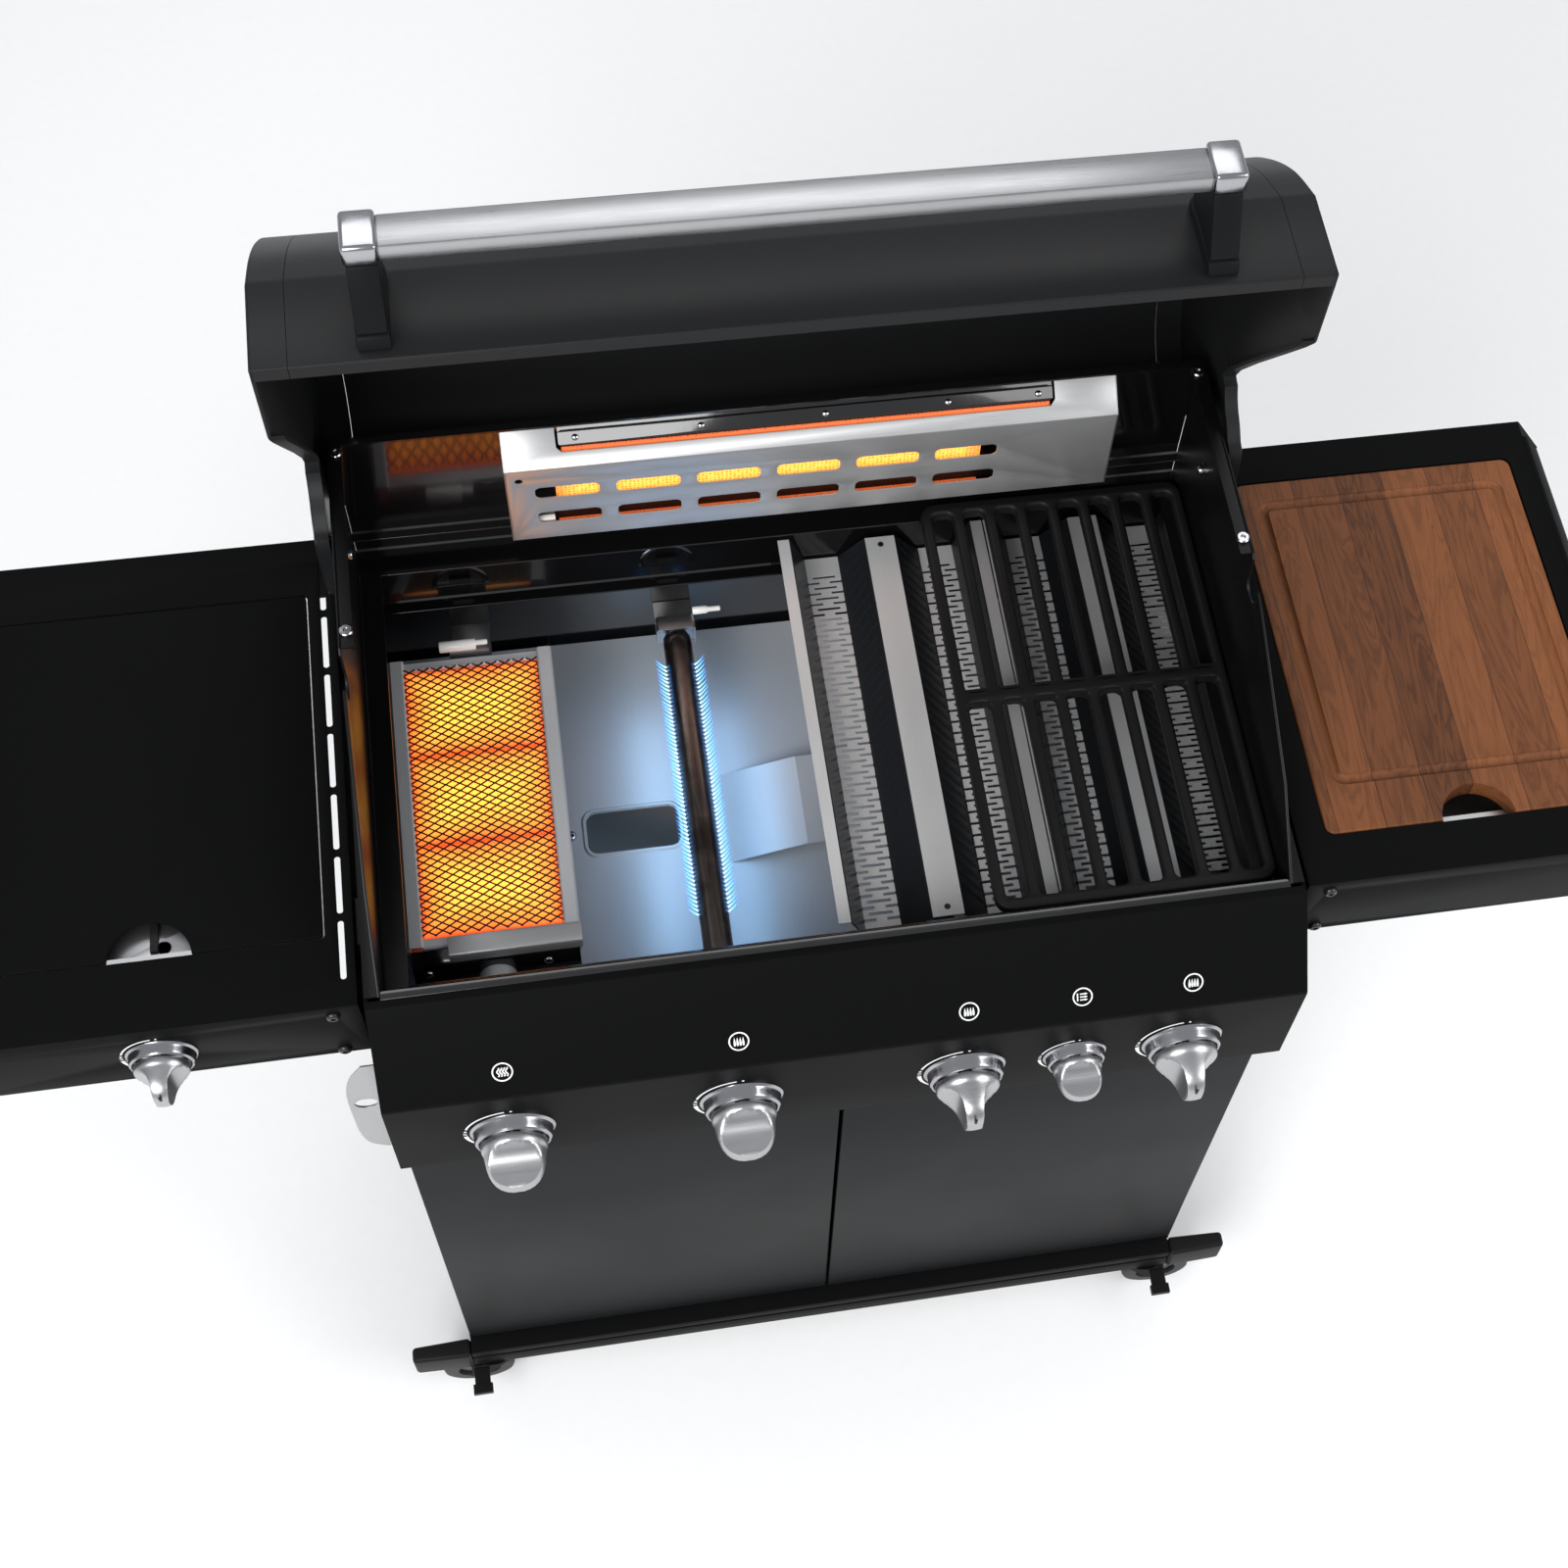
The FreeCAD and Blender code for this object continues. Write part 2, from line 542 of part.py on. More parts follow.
def side_burner():
    near, far = D["recess_inner"] - 5, D["recess_outer"] + 5
    front, back = D["recess_front"] - 5, D["recess_back"] + 5
    rim = box((far - near, back - front, 1.5), (-far, front, -4))
    bowl = box((far - near - 16, back - front - 16, 52), (-far + 8, front + 8, -54.5))
    inside = box((far - near - 19, back - front - 19, 60), (-far + 9.5, front + 9.5, -53))
    hole = rod(7, 60, (-528, "recess_front+20", -80))
    node("side_burner_bowl", trim(join([rim, bowl]), [inside, hole]))
    middle = (-525.8, 216)
    head = rod(36, 9, (middle[0], middle[1], -42))
    neck = taper(20, 32, 10.7, (middle[0], middle[1], -52.7))
    cap = rod(28, 4, (middle[0], middle[1], -33))
    node("side_burner_head", join([neck, head, cap]))
    ring = trim(rod(70, 5, (middle[0], middle[1], -17)), [rod(62, 7, (middle[0], middle[1], -18))])
    arms = []
    for turn in (0, 90):
        for sign in (-1, 1):
            size = (62, 6, 8) if turn == 0 else (6, 92, 8)
            x = middle[0] + (sign * 88 if turn == 0 else 0) - size[0] / 2
            y = middle[1] + (sign * 100 if turn == 90 else 0) - size[1] / 2
            arms.append(box(size, (x, y, -18)))
    node("side_burner_grid", join([ring] + arms))
    gap = D["edge_gap"]
    wide = D["recess_outer"] - D["recess_inner"] - 2 * gap
    deep = D["recess_back"] - D["recess_front"] - 2 * gap
    bead = D["cover_thick"] / 2
    low = -D["recess_outer"] + gap
    lid = box((wide, deep - bead, "cover_thick"), (low, "recess_front+edge_gap", "-cover_thick"))
    hinge_edge = rod(bead, wide, (low, D["recess_back"] - gap - bead, -bead), "x")
    finger = rod("finger_radius", 10, (-528, 58, -5))
    node("side_burner_cover", trim(join([lid, hinge_edge]), [finger]))


def board_and_pan():
    gap = D["edge_gap"]
    near, far = D["board_inner"] + gap, D["board_outer"] - gap
    front, back = D["board_front"] + gap, D["board_back"] - gap
    block = box((far - near, back - front, "board_thick"), (near, front, "-board_thick-0.2"))
    block = rounded(block, 8, lambda e: along_axis(e, "z"))
    finger = rod("finger_radius", 30, (530, 42.5, -25))
    outer = box((226, 285, 6), (414, 86, -3.2))
    inner = box((204, 261, 8), (425, 97, -4.2))
    node("cutting_board", trim(block, [finger, trim(outer, [inner])]))
    rim = box((far - near, back - front, "pan_sheet"), (near, front, -20.2))
    body = box((far - near - 20, back - front - 20, "pan_depth"),
               (near + 10, front + 10, "-20.2-pan_depth"))
    inside = box((far - near - 23, back - front - 23, 60), (near + 11.5, front + 11.5, -58.7))
    node("insert_pan", trim(join([rim, body]), [inside]))


# ---------------------------------------------------------------- what lies in the cooking box
def grate():
    left, right, front, back, top, thick = 124, 355.6, 16, 409, -10, 12
    frame = box((right - left, back - front, thick), (left, front, top - thick))
    frame = rounded(frame, 14, lambda e: along_axis(e, "z"))
    bars, cuts = 8, []
    pitch = (right - left - 9) / bars
    middle = (front + back) / 2
    for index in range(bars):
        x = left + 9 + index * pitch
        for start, end in ((front + 9, middle - 5), (middle + 5, back - 9)):
            cuts.append(box((pitch - 9, end - start, 20), (x, start, top - 16)))
    node("cooking_grate", trim(frame, cuts))


def flame_tamers():
    half = [(13, -55), (36, -80), (67, -80), (80.5, -45)]
    for name, middle in (("middle", D["burner_pitch"] / 2), ("right", D["burner_pitch"] * 1.5)):
        right_half = [(middle + x, z) for x, z in half]
        left_half = [(middle - x, z) for x, z in half[::-1]]
        if name == "middle":
            right_half.append((middle + 90.5, -45))
            left_half.insert(0, (middle - 90.5, -45))
        else:
            left_half.insert(0, (middle - 90.5, -45))
        line = left_half + right_half
        body = ribbon(line, 1.5, "y", 38, 371)
        cuts = []
        for side in (-1, 1):
            for step in range(16):
                cuts.append(box((26, 6, 6), (middle + side * 51.5 - 13, 52 + step * 22, -84)))
        for y in (50, 397):
            cuts.append(rod(2.5, 8, (middle, y, -60)))
        node("flame_tamer_" + name, trim(body, cuts))


# ---------------------------------------------------------------- lid
SHELL_LINE = ([(265, 425), (265, 437), (337, 438)]
              + smooth([(337, 438), (382, 414), (428, 376), (472, 327), (515, 252),
                        (533, 160), (527, 85), (500, 44), (450, 26)])[1:])


def lid():
    skin = ribbon(SHELL_LINE, D["lid_sheet"], "x", "-shell_half", "2*shell_half")
    node("lid_shell", skin)
    edge = [(450, 26), (400, 40), (372, 44), (345, 48), (333, 60), (330, 90), (333, 128),
            (342, 134), (352, 143), (366, 152), (376, 165), (377, 184), (279, 338), (267, 361),
            (265, 425)]
    outline = SHELL_LINE + edge[1:-1]
    for name, side in SIDES:
        near = D["shell_half"] + 0.3
        skin_near = D["cap_half"] - 3
        side_skin = plate(outline, "x", low_x(side, skin_near, 3), 3)
        band = ribbon(SHELL_LINE, 3, "x", low_x(side, near, skin_near - near),
                      skin_near - near)
        hem = ribbon(edge[3:], 3, "x", low_x(side, 361.5, skin_near - 361.5),
                     skin_near - 361.5)
        boss = rod(14, skin_near - 361.5, (low_x(side, 361.5, skin_near - 361.5), "pivot_y",
                                           "pivot_z"), "x")
        bore = rod("pivot_radius+running_gap", 30, (low_x(side, 350, 30), "pivot_y",
                                                    "pivot_z"), "x")
        whole = trim(join([side_skin, band, hem, boss]), [bore])
        node("lid_end_cap_" + name, whole)
    node("handle_bar", box(("2*handle_half", "handle_deep", "handle_tall"),
                           ("-handle_half", "handle_front", "handle_base")))
    brackets = []
    for _, side in SIDES:
        wide = D["handle_end"] - D["handle_half"]
        x = low_x(side, D["handle_half"], wide)
        leg = plate([(272, 437.5), (337, 438), (328, 497), (297, 497)], "x", x, wide)
        cap = box((wide, 34, 18), (x, 296, 494.5))
        cap = rounded(cap, 3, lambda e: along_axis(e, "x"))
        brackets.append(join([leg, cap]))
    node("handle_brackets", group(brackets))


def opener():
    near, far = D["side_outer"], 403
    outline = [(-near, -75), (-near, -250), (-386, -250), (-398, -238), (-403, -215),
               (-403, -130), (-396, -95), (-384, -75)]
    blade = plate(outline, "y", -20, 2)
    tab = box((2, 40, 60), (-near - 2, -20, -190))
    hook = rod(9, 8, (-389, -24, -150), "y")
    node("bottle_opener", trim(join([blade, tab]), [hook]))


# ---------------------------------------------------------------- casters
def casters():
    floor = -D["deck_height"]
    axle_z = floor + D["wheel_radius"]
    for end, y in (("front", D["front_caster_y"]), ("rear", D["rear_caster_y"])):
        for name, side in SIDES:
            x = side * D["swivel_side"]
            wheel_x = x + side * D["trail"]
            half = D["wheel_width"] / 2
            mount = rod(24, 3, (x, y, "beam_foot-3.3"))
            neck = rod(15, 6.7, (x, y, "beam_foot-10"))
            legs = []
            for offset in (half + 1, -half - 4):
                outline = [(x - side * 20, -855), (x + side * 22, -855),
                           (wheel_x + side * 10, axle_z - 8), (wheel_x - side * 10, axle_z - 8)]
                legs.append(plate(outline, "y", y + offset, 3))
            crown_near = min(x - side * 20, x + side * 22)
            crown = box((42, 2 * half + 8, 4), (crown_near, y - half - 4, -857))
            axle = rod("axle_radius", 2 * half + 8, (wheel_x, y - half - 4, axle_z), "y")
            node("caster_fork_%s_%s" % (end, name),
                 join([mount, neck, crown, axle] + legs))
            tyre = rod("wheel_radius", "wheel_width", (wheel_x, y - half, axle_z), "y")
            tyre = rounded(tyre, 4, lambda e: len(e.Vertexes) == 1)
            bore = rod("axle_radius+running_gap", 40, (wheel_x, y - 20, axle_z), "y")
            dish = [rod(22, 6, (wheel_x, y - half - 1, axle_z), "y"),
                    rod(22, 6, (wheel_x, y + half - 5, axle_z), "y")]
            node("caster_wheel_%s_%s" % (end, name), trim(tyre, [bore] + dish))
            if end == "front":
                hinge_y = y - half - 6
                arm = box((16, 24, 4), (wheel_x - 8 - side * 4, hinge_y - 24, axle_z + 21))
                pad = box((20, 10, 7), (wheel_x - 10 - side * 4, hinge_y - 27, axle_z + 19.5))
                barrel = rod(1.6, 16, (wheel_x - 8 - side * 4, hinge_y, axle_z + 23), "x")
                node("brake_pedal_" + name, join([arm, pad, barrel]))


cabinet()
doors()
cooking_box()
burners()
back_burner()
control_panel()
knobs()
tables()
side_burner()
board_and_pan()
grate()
flame_tamers()
lid()
opener()
casters()
doc.recompute()

faults = [o.Name for o in doc.Objects if "Invalid" in o.State or "Error" in o.State]
for part in nodes:
    if part.Shape.isNull() or not part.Shape.isValid() or not part.Shape.Solids:
        faults.append(part.Label)
if faults:
    raise SystemExit("these failed: " + ", ".join(faults))

whole = FreeCAD.BoundBox()
for part in nodes:
    whole.add(part.Shape.BoundBox)
print("nodes", len(nodes), "box", whole)
os.makedirs("parts", exist_ok=True)
for part in nodes:
    part.Shape.exportStep("parts/%s.step" % part.Label)
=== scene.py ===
import json
import math

import bmesh
import bpy
from mathutils import Matrix, Vector


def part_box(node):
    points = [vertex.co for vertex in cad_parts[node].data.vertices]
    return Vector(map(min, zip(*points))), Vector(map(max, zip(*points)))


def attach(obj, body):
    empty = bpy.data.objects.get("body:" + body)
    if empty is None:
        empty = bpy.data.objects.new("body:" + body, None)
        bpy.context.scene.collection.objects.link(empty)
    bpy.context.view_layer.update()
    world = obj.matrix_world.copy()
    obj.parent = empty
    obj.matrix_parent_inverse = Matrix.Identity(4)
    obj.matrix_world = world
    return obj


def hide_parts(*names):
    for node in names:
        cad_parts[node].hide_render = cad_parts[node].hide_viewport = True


# Free-standing gas barbecue with its lid raised: the looks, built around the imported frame.
# Pieces are drawn in millimetres from the deck: x to the right, y to the back from the front
# edge of the side tables, z up from the table tops.  piece() turns them into metres in the
# row frame, so the deck's place comes from the frame itself.

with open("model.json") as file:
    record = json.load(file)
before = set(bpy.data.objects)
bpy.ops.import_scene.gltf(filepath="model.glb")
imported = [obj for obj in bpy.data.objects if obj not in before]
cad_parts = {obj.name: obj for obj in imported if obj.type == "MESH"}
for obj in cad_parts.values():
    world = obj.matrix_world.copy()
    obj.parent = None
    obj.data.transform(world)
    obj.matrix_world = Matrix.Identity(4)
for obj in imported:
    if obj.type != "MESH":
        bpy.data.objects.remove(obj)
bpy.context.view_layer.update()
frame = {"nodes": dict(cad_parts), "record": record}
for imported in list(bpy.data.materials):
    bpy.data.materials.remove(imported)
MM = 0.001
SIDES = (("left", -1), ("right", 1))

table_low, table_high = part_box("left_table")
DECK = Vector((0, table_low.y, table_high.z))


def on_deck(x, y, z):
    """A deck point in millimetres as a row-frame point in metres."""
    return DECK + Vector((x, y, z)) * MM


def deck_box(node):
    """A CAD node's corners in deck millimetres."""
    low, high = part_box(node)
    return (low - DECK) / MM, (high - DECK) / MM


# ------------------------------------------------------------------------ node tools
def wire(tree, kind, place=(), **inputs):
    """Adds a shader node.  An input may be a value or the socket of another node."""
    made = tree.nodes.new(kind)
    for name, value in place:
        setattr(made, name, value)
    for name, value in inputs.items():
        key = int(name[1:]) if name[0] == "n" and name[1:].isdigit() else name.replace("_", " ")
        socket = made.inputs[key]
        if isinstance(value, bpy.types.NodeSocket):
            tree.links.new(value, socket)
        else:
            socket.default_value = value
    return made


def ramp(tree, factor, stops):
    """A colour ramp.  Each stop is (position, colour)."""
    made = wire(tree, "ShaderNodeValToRGB", Fac=factor)
    band = made.color_ramp
    while len(band.elements) < len(stops):
        band.elements.new(0.5)
    for element, (position, colour) in zip(band.elements, stops):
        element.position = position
        element.color = (*colour, 1) if len(colour) == 3 else (colour[0],) * 3 + (1,)
    return made.outputs["Color"]


def mathed(tree, operation, a, b=0.5, c=0.0):
    """The result of one arithmetic node."""
    made = wire(tree, "ShaderNodeMath", [("operation", operation)], n0=a, n1=b, n2=c)
    return made.outputs[0]


def mixed(tree, factor, a, b, blend="MIX"):
    """Colour a to b by factor.  In a colour Mix node, 6 and 7 are the colours and 2 is the
    result."""
    made = tree.nodes.new("ShaderNodeMix")
    made.data_type, made.blend_type = "RGBA", blend
    for index, value in ((0, factor), (6, a), (7, b)):
        if isinstance(value, bpy.types.NodeSocket):
            tree.links.new(value, made.inputs[index])
        elif index and len(value) == 3:
            made.inputs[index].default_value = (*value, 1)
        else:
            made.inputs[index].default_value = value
    return made.outputs[2]


def effect(name, inputs, outputs):
    """An empty node group with named sockets: (name, type, default) in, (name, type) out."""
    tree = bpy.data.node_groups.new(name, "ShaderNodeTree")
    for label, kind, value in inputs:
        socket = tree.interface.new_socket(label, in_out="INPUT", socket_type="NodeSocket" + kind)
        socket.default_value = value
    for label, kind in outputs:
        tree.interface.new_socket(label, in_out="OUTPUT", socket_type="NodeSocket" + kind)
    start, end = tree.nodes.new("NodeGroupInput"), tree.nodes.new("NodeGroupOutput")
    return tree, start.outputs, end.inputs


def placed(tree, group, **inputs):
    """A shared effect in a material, with its own values; returns the outputs."""
    made = tree.nodes.new("ShaderNodeGroup")
    made.node_tree = group
    for name, value in inputs.items():
        socket = made.inputs[name.replace("_", " ")]
        if isinstance(value, bpy.types.NodeSocket):
            tree.links.new(value, socket)
        else:
            socket.default_value = (*value, 1) if socket.type == "RGBA" else value
    return made.outputs


def object_place(tree):
    """Where a point lies on its piece, in metres."""
    return tree.nodes.new("ShaderNodeTexCoord").outputs["Object"]


# ------------------------------------------------------------------------ shared effects
def powder_grain():
    """Fine pebbled coating: a speckled colour, an uneven roughness and a height."""
    tree, given, out = effect(
        "powder_grain",
        [("Color", "Color", (0.02, 0.02, 0.02, 1)), ("Grain Size", "Float", 1400.0),
         ("Roughness", "Float", 0.5), ("Speckle", "Float", 0.25)],
        [("Color", "Color"), ("Roughness", "Float"), ("Height", "Float")])
    place = object_place(tree)
    grain = wire(tree, "ShaderNodeTexNoise", Vector=place, Scale=given["Grain Size"], Detail=2.0)
    cloud = wire(tree, "ShaderNodeTexNoise", Vector=place, Scale=7.0, Detail=4.0)
    light = mathed(tree, "MULTIPLY_ADD", grain.outputs["Fac"], given["Speckle"], 1.0)
    scaled = wire(tree, "ShaderNodeVectorMath", [("operation", "SCALE")],
                  n0=given["Color"], Scale=light)
    tree.links.new(scaled.outputs[0], out["Color"])
    drift = mathed(tree, "MULTIPLY_ADD", cloud.outputs["Fac"], 0.16, given["Roughness"])
    tree.links.new(mathed(tree, "SUBTRACT", drift, 0.08), out["Roughness"])
    tree.links.new(grain.outputs["Fac"], out["Height"])
    return tree


def brushed_lines():
    """Fine parallel scratches.  Stretch is large across the lines and small along them."""
    tree, given, out = effect(
        "brushed_lines",
        [("Color", "Color", (0.6, 0.6, 0.6, 1)), ("Stretch", "Vector", (20, 900, 900)),
         ("Roughness", "Float", 0.3), ("Contrast", "Float", 0.2)],
        [("Color", "Color"), ("Roughness", "Float"), ("Height", "Float")])
    place = wire(tree, "ShaderNodeVectorMath", [("operation", "MULTIPLY")],
                 n0=object_place(tree), n1=given["Stretch"]).outputs[0]
    lines = wire(tree, "ShaderNodeTexNoise", Vector=place, Scale=1.0, Detail=5.0, Roughness=0.7)
    cloud = wire(tree, "ShaderNodeTexNoise", Vector=object_place(tree), Scale=9.0, Detail=3.0)
    centred = mathed(tree, "SUBTRACT", lines.outputs["Fac"], 0.5)
    light = mathed(tree, "MULTIPLY_ADD", centred, given["Contrast"], 1.0)
    scaled = wire(tree, "ShaderNodeVectorMath", [("operation", "SCALE")],
                  n0=given["Color"], Scale=light)
    tree.links.new(scaled.outputs[0], out["Color"])
    rough = mathed(tree, "MULTIPLY_ADD", centred, 0.35, given["Roughness"])
    tree.links.new(mathed(tree, "MULTIPLY_ADD", cloud.outputs["Fac"], 0.12, rough),
                   out["Roughness"])
    tree.links.new(lines.outputs["Fac"], out["Height"])
    return tree


def fired_holes():
    """Rows of small holes in glowing ceramic: the glow colour and a height."""
    tree, given, out = effect(
        "fired_holes",
        [("Hot", "Color", (1, 0.5, 0.1, 1)), ("Warm", "Color", (0.9, 0.2, 0.03, 1)),
         ("Heat", "Float", 1.0), ("Holes", "Float", 420.0), ("Patch Size", "Float", 16.0)],
        [("Glow", "Color"), ("Height", "Float")])
    place = object_place(tree)
    dots = wire(tree, "ShaderNodeTexVoronoi", Vector=place, Scale=given["Holes"], Randomness=0.25)
    patch = wire(tree, "ShaderNodeTexNoise", Vector=place, Scale=given["Patch Size"], Detail=3.0)
    uneven = mathed(tree, "MULTIPLY_ADD", patch.outputs["Fac"], 0.5, given["Heat"])
    heat = ramp(tree, mathed(tree, "SUBTRACT", uneven, 0.25), [(0.0, (0.0,)), (0.9, (1.0,))])
    glow = mixed(tree, heat, given["Warm"], given["Hot"])
    pit = ramp(tree, dots.outputs["Distance"], [(0.18, (0.3,)), (0.42, (1.0,))])
    tree.links.new(mixed(tree, 1.0, glow, pit, "MULTIPLY"), out["Glow"])
    tree.links.new(dots.outputs["Distance"], out["Height"])
    return tree


def plank_grain():
    """Hardwood lamellae that run front to back, each with its own tone and figure."""
    tree, given, out = effect(
        "plank_grain",
        [("Dark", "Color", (0.030, 0.010, 0.004, 1)), ("Light", "Color", (0.21, 0.072, 0.024, 1)),
         ("Plank Width", "Float", 0.041)],
        [("Color", "Color"), ("Roughness", "Float"), ("Height", "Float")])
    place = object_place(tree)
    axes = wire(tree, "ShaderNodeSeparateXYZ", Vector=place).outputs
    count = mathed(tree, "DIVIDE", axes["X"], given["Plank Width"])
    index = mathed(tree, "FLOOR", count)
    tone = wire(tree, "ShaderNodeTexWhiteNoise", [("noise_dimensions", "1D")], W=index).outputs
    shift = wire(tree, "ShaderNodeVectorMath", [("operation", "SCALE")], n0=tone["Color"],
                 Scale=3.0).outputs[0]
    moved = wire(tree, "ShaderNodeVectorMath", [("operation", "ADD")], n0=place,
                 n1=shift).outputs[0]
    long = wire(tree, "ShaderNodeVectorMath", [("operation", "MULTIPLY")], n0=moved,
                n1=(26, 3.2, 26)).outputs[0]
    figure = wire(tree, "ShaderNodeTexNoise", Vector=long, Scale=1.6, Detail=5.0,
                  Distortion=1.6).outputs["Fac"]
    fibre = wire(tree, "ShaderNodeVectorMath", [("operation", "MULTIPLY")], n0=moved,
                 n1=(900, 26, 900)).outputs[0]
    fine = wire(tree, "ShaderNodeTexNoise", Vector=fibre, Scale=1.0, Detail=3.0).outputs["Fac"]
    rings = mathed(tree, "FRACT", mathed(tree, "MULTIPLY", figure, 7.0))
    soft = ramp(tree, rings, [(0.0, (0.25,)), (0.5, (0.75,)), (0.86, (0.5,)), (1.0, (0.22,))])
    level = mathed(tree, "MULTIPLY_ADD", soft, 0.62, mathed(tree, "MULTIPLY", tone["Value"], 0.6))
    level = mathed(tree, "MULTIPLY_ADD", fine, 0.30, mathed(tree, "SUBTRACT", level, 0.20))
    seam = mathed(tree, "ABSOLUTE", mathed(tree, "SUBTRACT", mathed(tree, "FRACT", count), 0.5))
    joint = ramp(tree, seam, [(0.0, (1.0,)), (0.485, (1.0,)), (0.499, (0.35,))])
    base = mixed(tree, level, given["Dark"], given["Light"])
    tree.links.new(mixed(tree, 1.0, base, joint, "MULTIPLY"), out["Color"])
    tree.links.new(mathed(tree, "MULTIPLY_ADD", fine, 0.25, 0.42), out["Roughness"])
    tree.links.new(fine, out["Height"])
    return tree


POWDER, BRUSHED = powder_grain(), brushed_lines()
FIRED, PLANK = fired_holes(), plank_grain()


# ------------------------------------------------------------------------ finishes
def finish(name, **constants):
    """A material with constants on its shader's own sockets; returns its tree and shader."""
    made = bpy.data.materials.new(name)
    made.use_nodes = True
    shader = made.node_tree.nodes["Principled BSDF"]
    for key, value in constants.items():
        socket = shader.inputs[key.replace("_", " ")]
        socket.default_value = (*value, 1) if socket.type == "RGBA" else value
    return made, made.node_tree, shader


def bumped(tree, shader, height, strength, distance):
    """Turns a height into relief on the shader's normal."""
    bump = wire(tree, "ShaderNodeBump", Strength=strength, Distance=distance, Height=height)
    tree.links.new(bump.outputs["Normal"], shader.inputs["Normal"])


def coated(name, colour, roughness, grain=1400.0, speckle=0.3, relief=0.12, **constants):
    """Paint, enamel, plastic, rubber or raw casting: powder_grain with its own values."""
    made, tree, shader = finish(name, **constants)
    out = placed(tree, POWDER, Color=colour, Roughness=roughness, Grain_Size=grain,
                 Speckle=speckle)
    tree.links.new(out["Color"], shader.inputs["Base Color"])
    tree.links.new(out["Roughness"], shader.inputs["Roughness"])
    bumped(tree, shader, out["Height"], relief, 0.0006)
    return made


def metal(name, colour, roughness, stretch, contrast=0.2, relief=0.05, Metallic=1.0,
          **constants):
    """Rolled, brushed or plated metal: brushed_lines with its own values."""
    made, tree, shader = finish(name, Metallic=Metallic, **constants)
    out = placed(tree, BRUSHED, Color=colour, Roughness=roughness, Stretch=stretch,
                 Contrast=contrast)
    tree.links.new(out["Color"], shader.inputs["Base Color"])
    tree.links.new(out["Roughness"], shader.inputs["Roughness"])
    bumped(tree, shader, out["Height"], relief, 0.0003)
    return made


def glowing(name, hot, warm, holes, patch, strength):
    """Fired burner ceramic that glows."""
    made, tree, shader = finish(name, Roughness=0.8, Base_Color=(0.35, 0.12, 0.05),
                                Emission_Strength=strength)
    heat = tree.nodes.new("ShaderNodeAttribute")
    heat.attribute_name = "warmth"
    out = placed(tree, FIRED, Hot=hot, Warm=warm, Holes=holes, Patch_Size=patch,
                 Heat=heat.outputs["Fac"])
    tree.links.new(out["Glow"], shader.inputs["Emission Color"])
    shade = mixed(tree, 0.6, out["Glow"], (0.3, 0.1, 0.05))
    tree.links.new(shade, shader.inputs["Base Color"])
    bumped(tree, shader, out["Height"], 0.6, 0.001)
    return made


def flame_blue():
    """Gas flame: white-blue at the port, deep blue and thin towards the tip."""
    made, tree, shader = finish("flame_blue", Roughness=0.6, Base_Color=(0.05, 0.2, 0.6),
                                Emission_Strength=2.2)
    flow = wire(tree, "ShaderNodeTexNoise", Vector=object_place(tree), Scale=160.0, Detail=2.0)
    height = tree.nodes.new("ShaderNodeAttribute")
    height.attribute_name = "reach"
    heat = mathed(tree, "MULTIPLY_ADD", flow.outputs["Fac"], 0.25, height.outputs["Fac"])
    colour = ramp(tree, heat, [(0.1, (0.62, 0.9, 1.0)), (0.45, (0.12, 0.5, 1.0)),
                               (1.0, (0.02, 0.14, 0.8))])
    thin = ramp(tree, heat, [(0.1, (0.85,)), (0.6, (0.55,)), (1.15, (0.05,))])
    tree.links.new(colour, shader.inputs["Emission Color"])
    tree.links.new(colour, shader.inputs["Base Color"])
    tree.links.new(thin, shader.inputs["Alpha"])
    return made


def heat_tinted(name):
    """Stainless pipe that has blued and browned near the flames."""
    made, tree, shader = finish(name, Metallic=1.0)
    out = placed(tree, BRUSHED, Color=(0.2, 0.17, 0.155), Roughness=0.28, Stretch=(700, 30, 700),
                 Contrast=0.4)
    tint = wire(tree, "ShaderNodeTexNoise", Vector=object_place(tree), Scale=22.0, Detail=3.0)
    stain = ramp(tree, tint.outputs["Fac"], [(0.35, (0.08, 0.07, 0.075)), (0.5, (0.30, 0.25, 0.22)),
                                             (0.68, (0.13, 0.12, 0.15))])
    tree.links.new(mixed(tree, 0.6, out["Color"], stain), shader.inputs["Base Color"])
    tree.links.new(out["Roughness"], shader.inputs["Roughness"])
    bumped(tree, shader, out["Height"], 0.06, 0.0003)
    return made


def oiled_walnut():
    """The board: plank_grain under a thin coat of oil."""
    made, tree, shader = finish("walnut", Specular_IOR_Level=0.25)
    out = placed(tree, PLANK)
    tree.links.new(out["Color"], shader.inputs["Base Color"])
    tree.links.new(out["Roughness"], shader.inputs["Roughness"])
    bumped(tree, shader, out["Height"], 0.25, 0.0004)
    return made


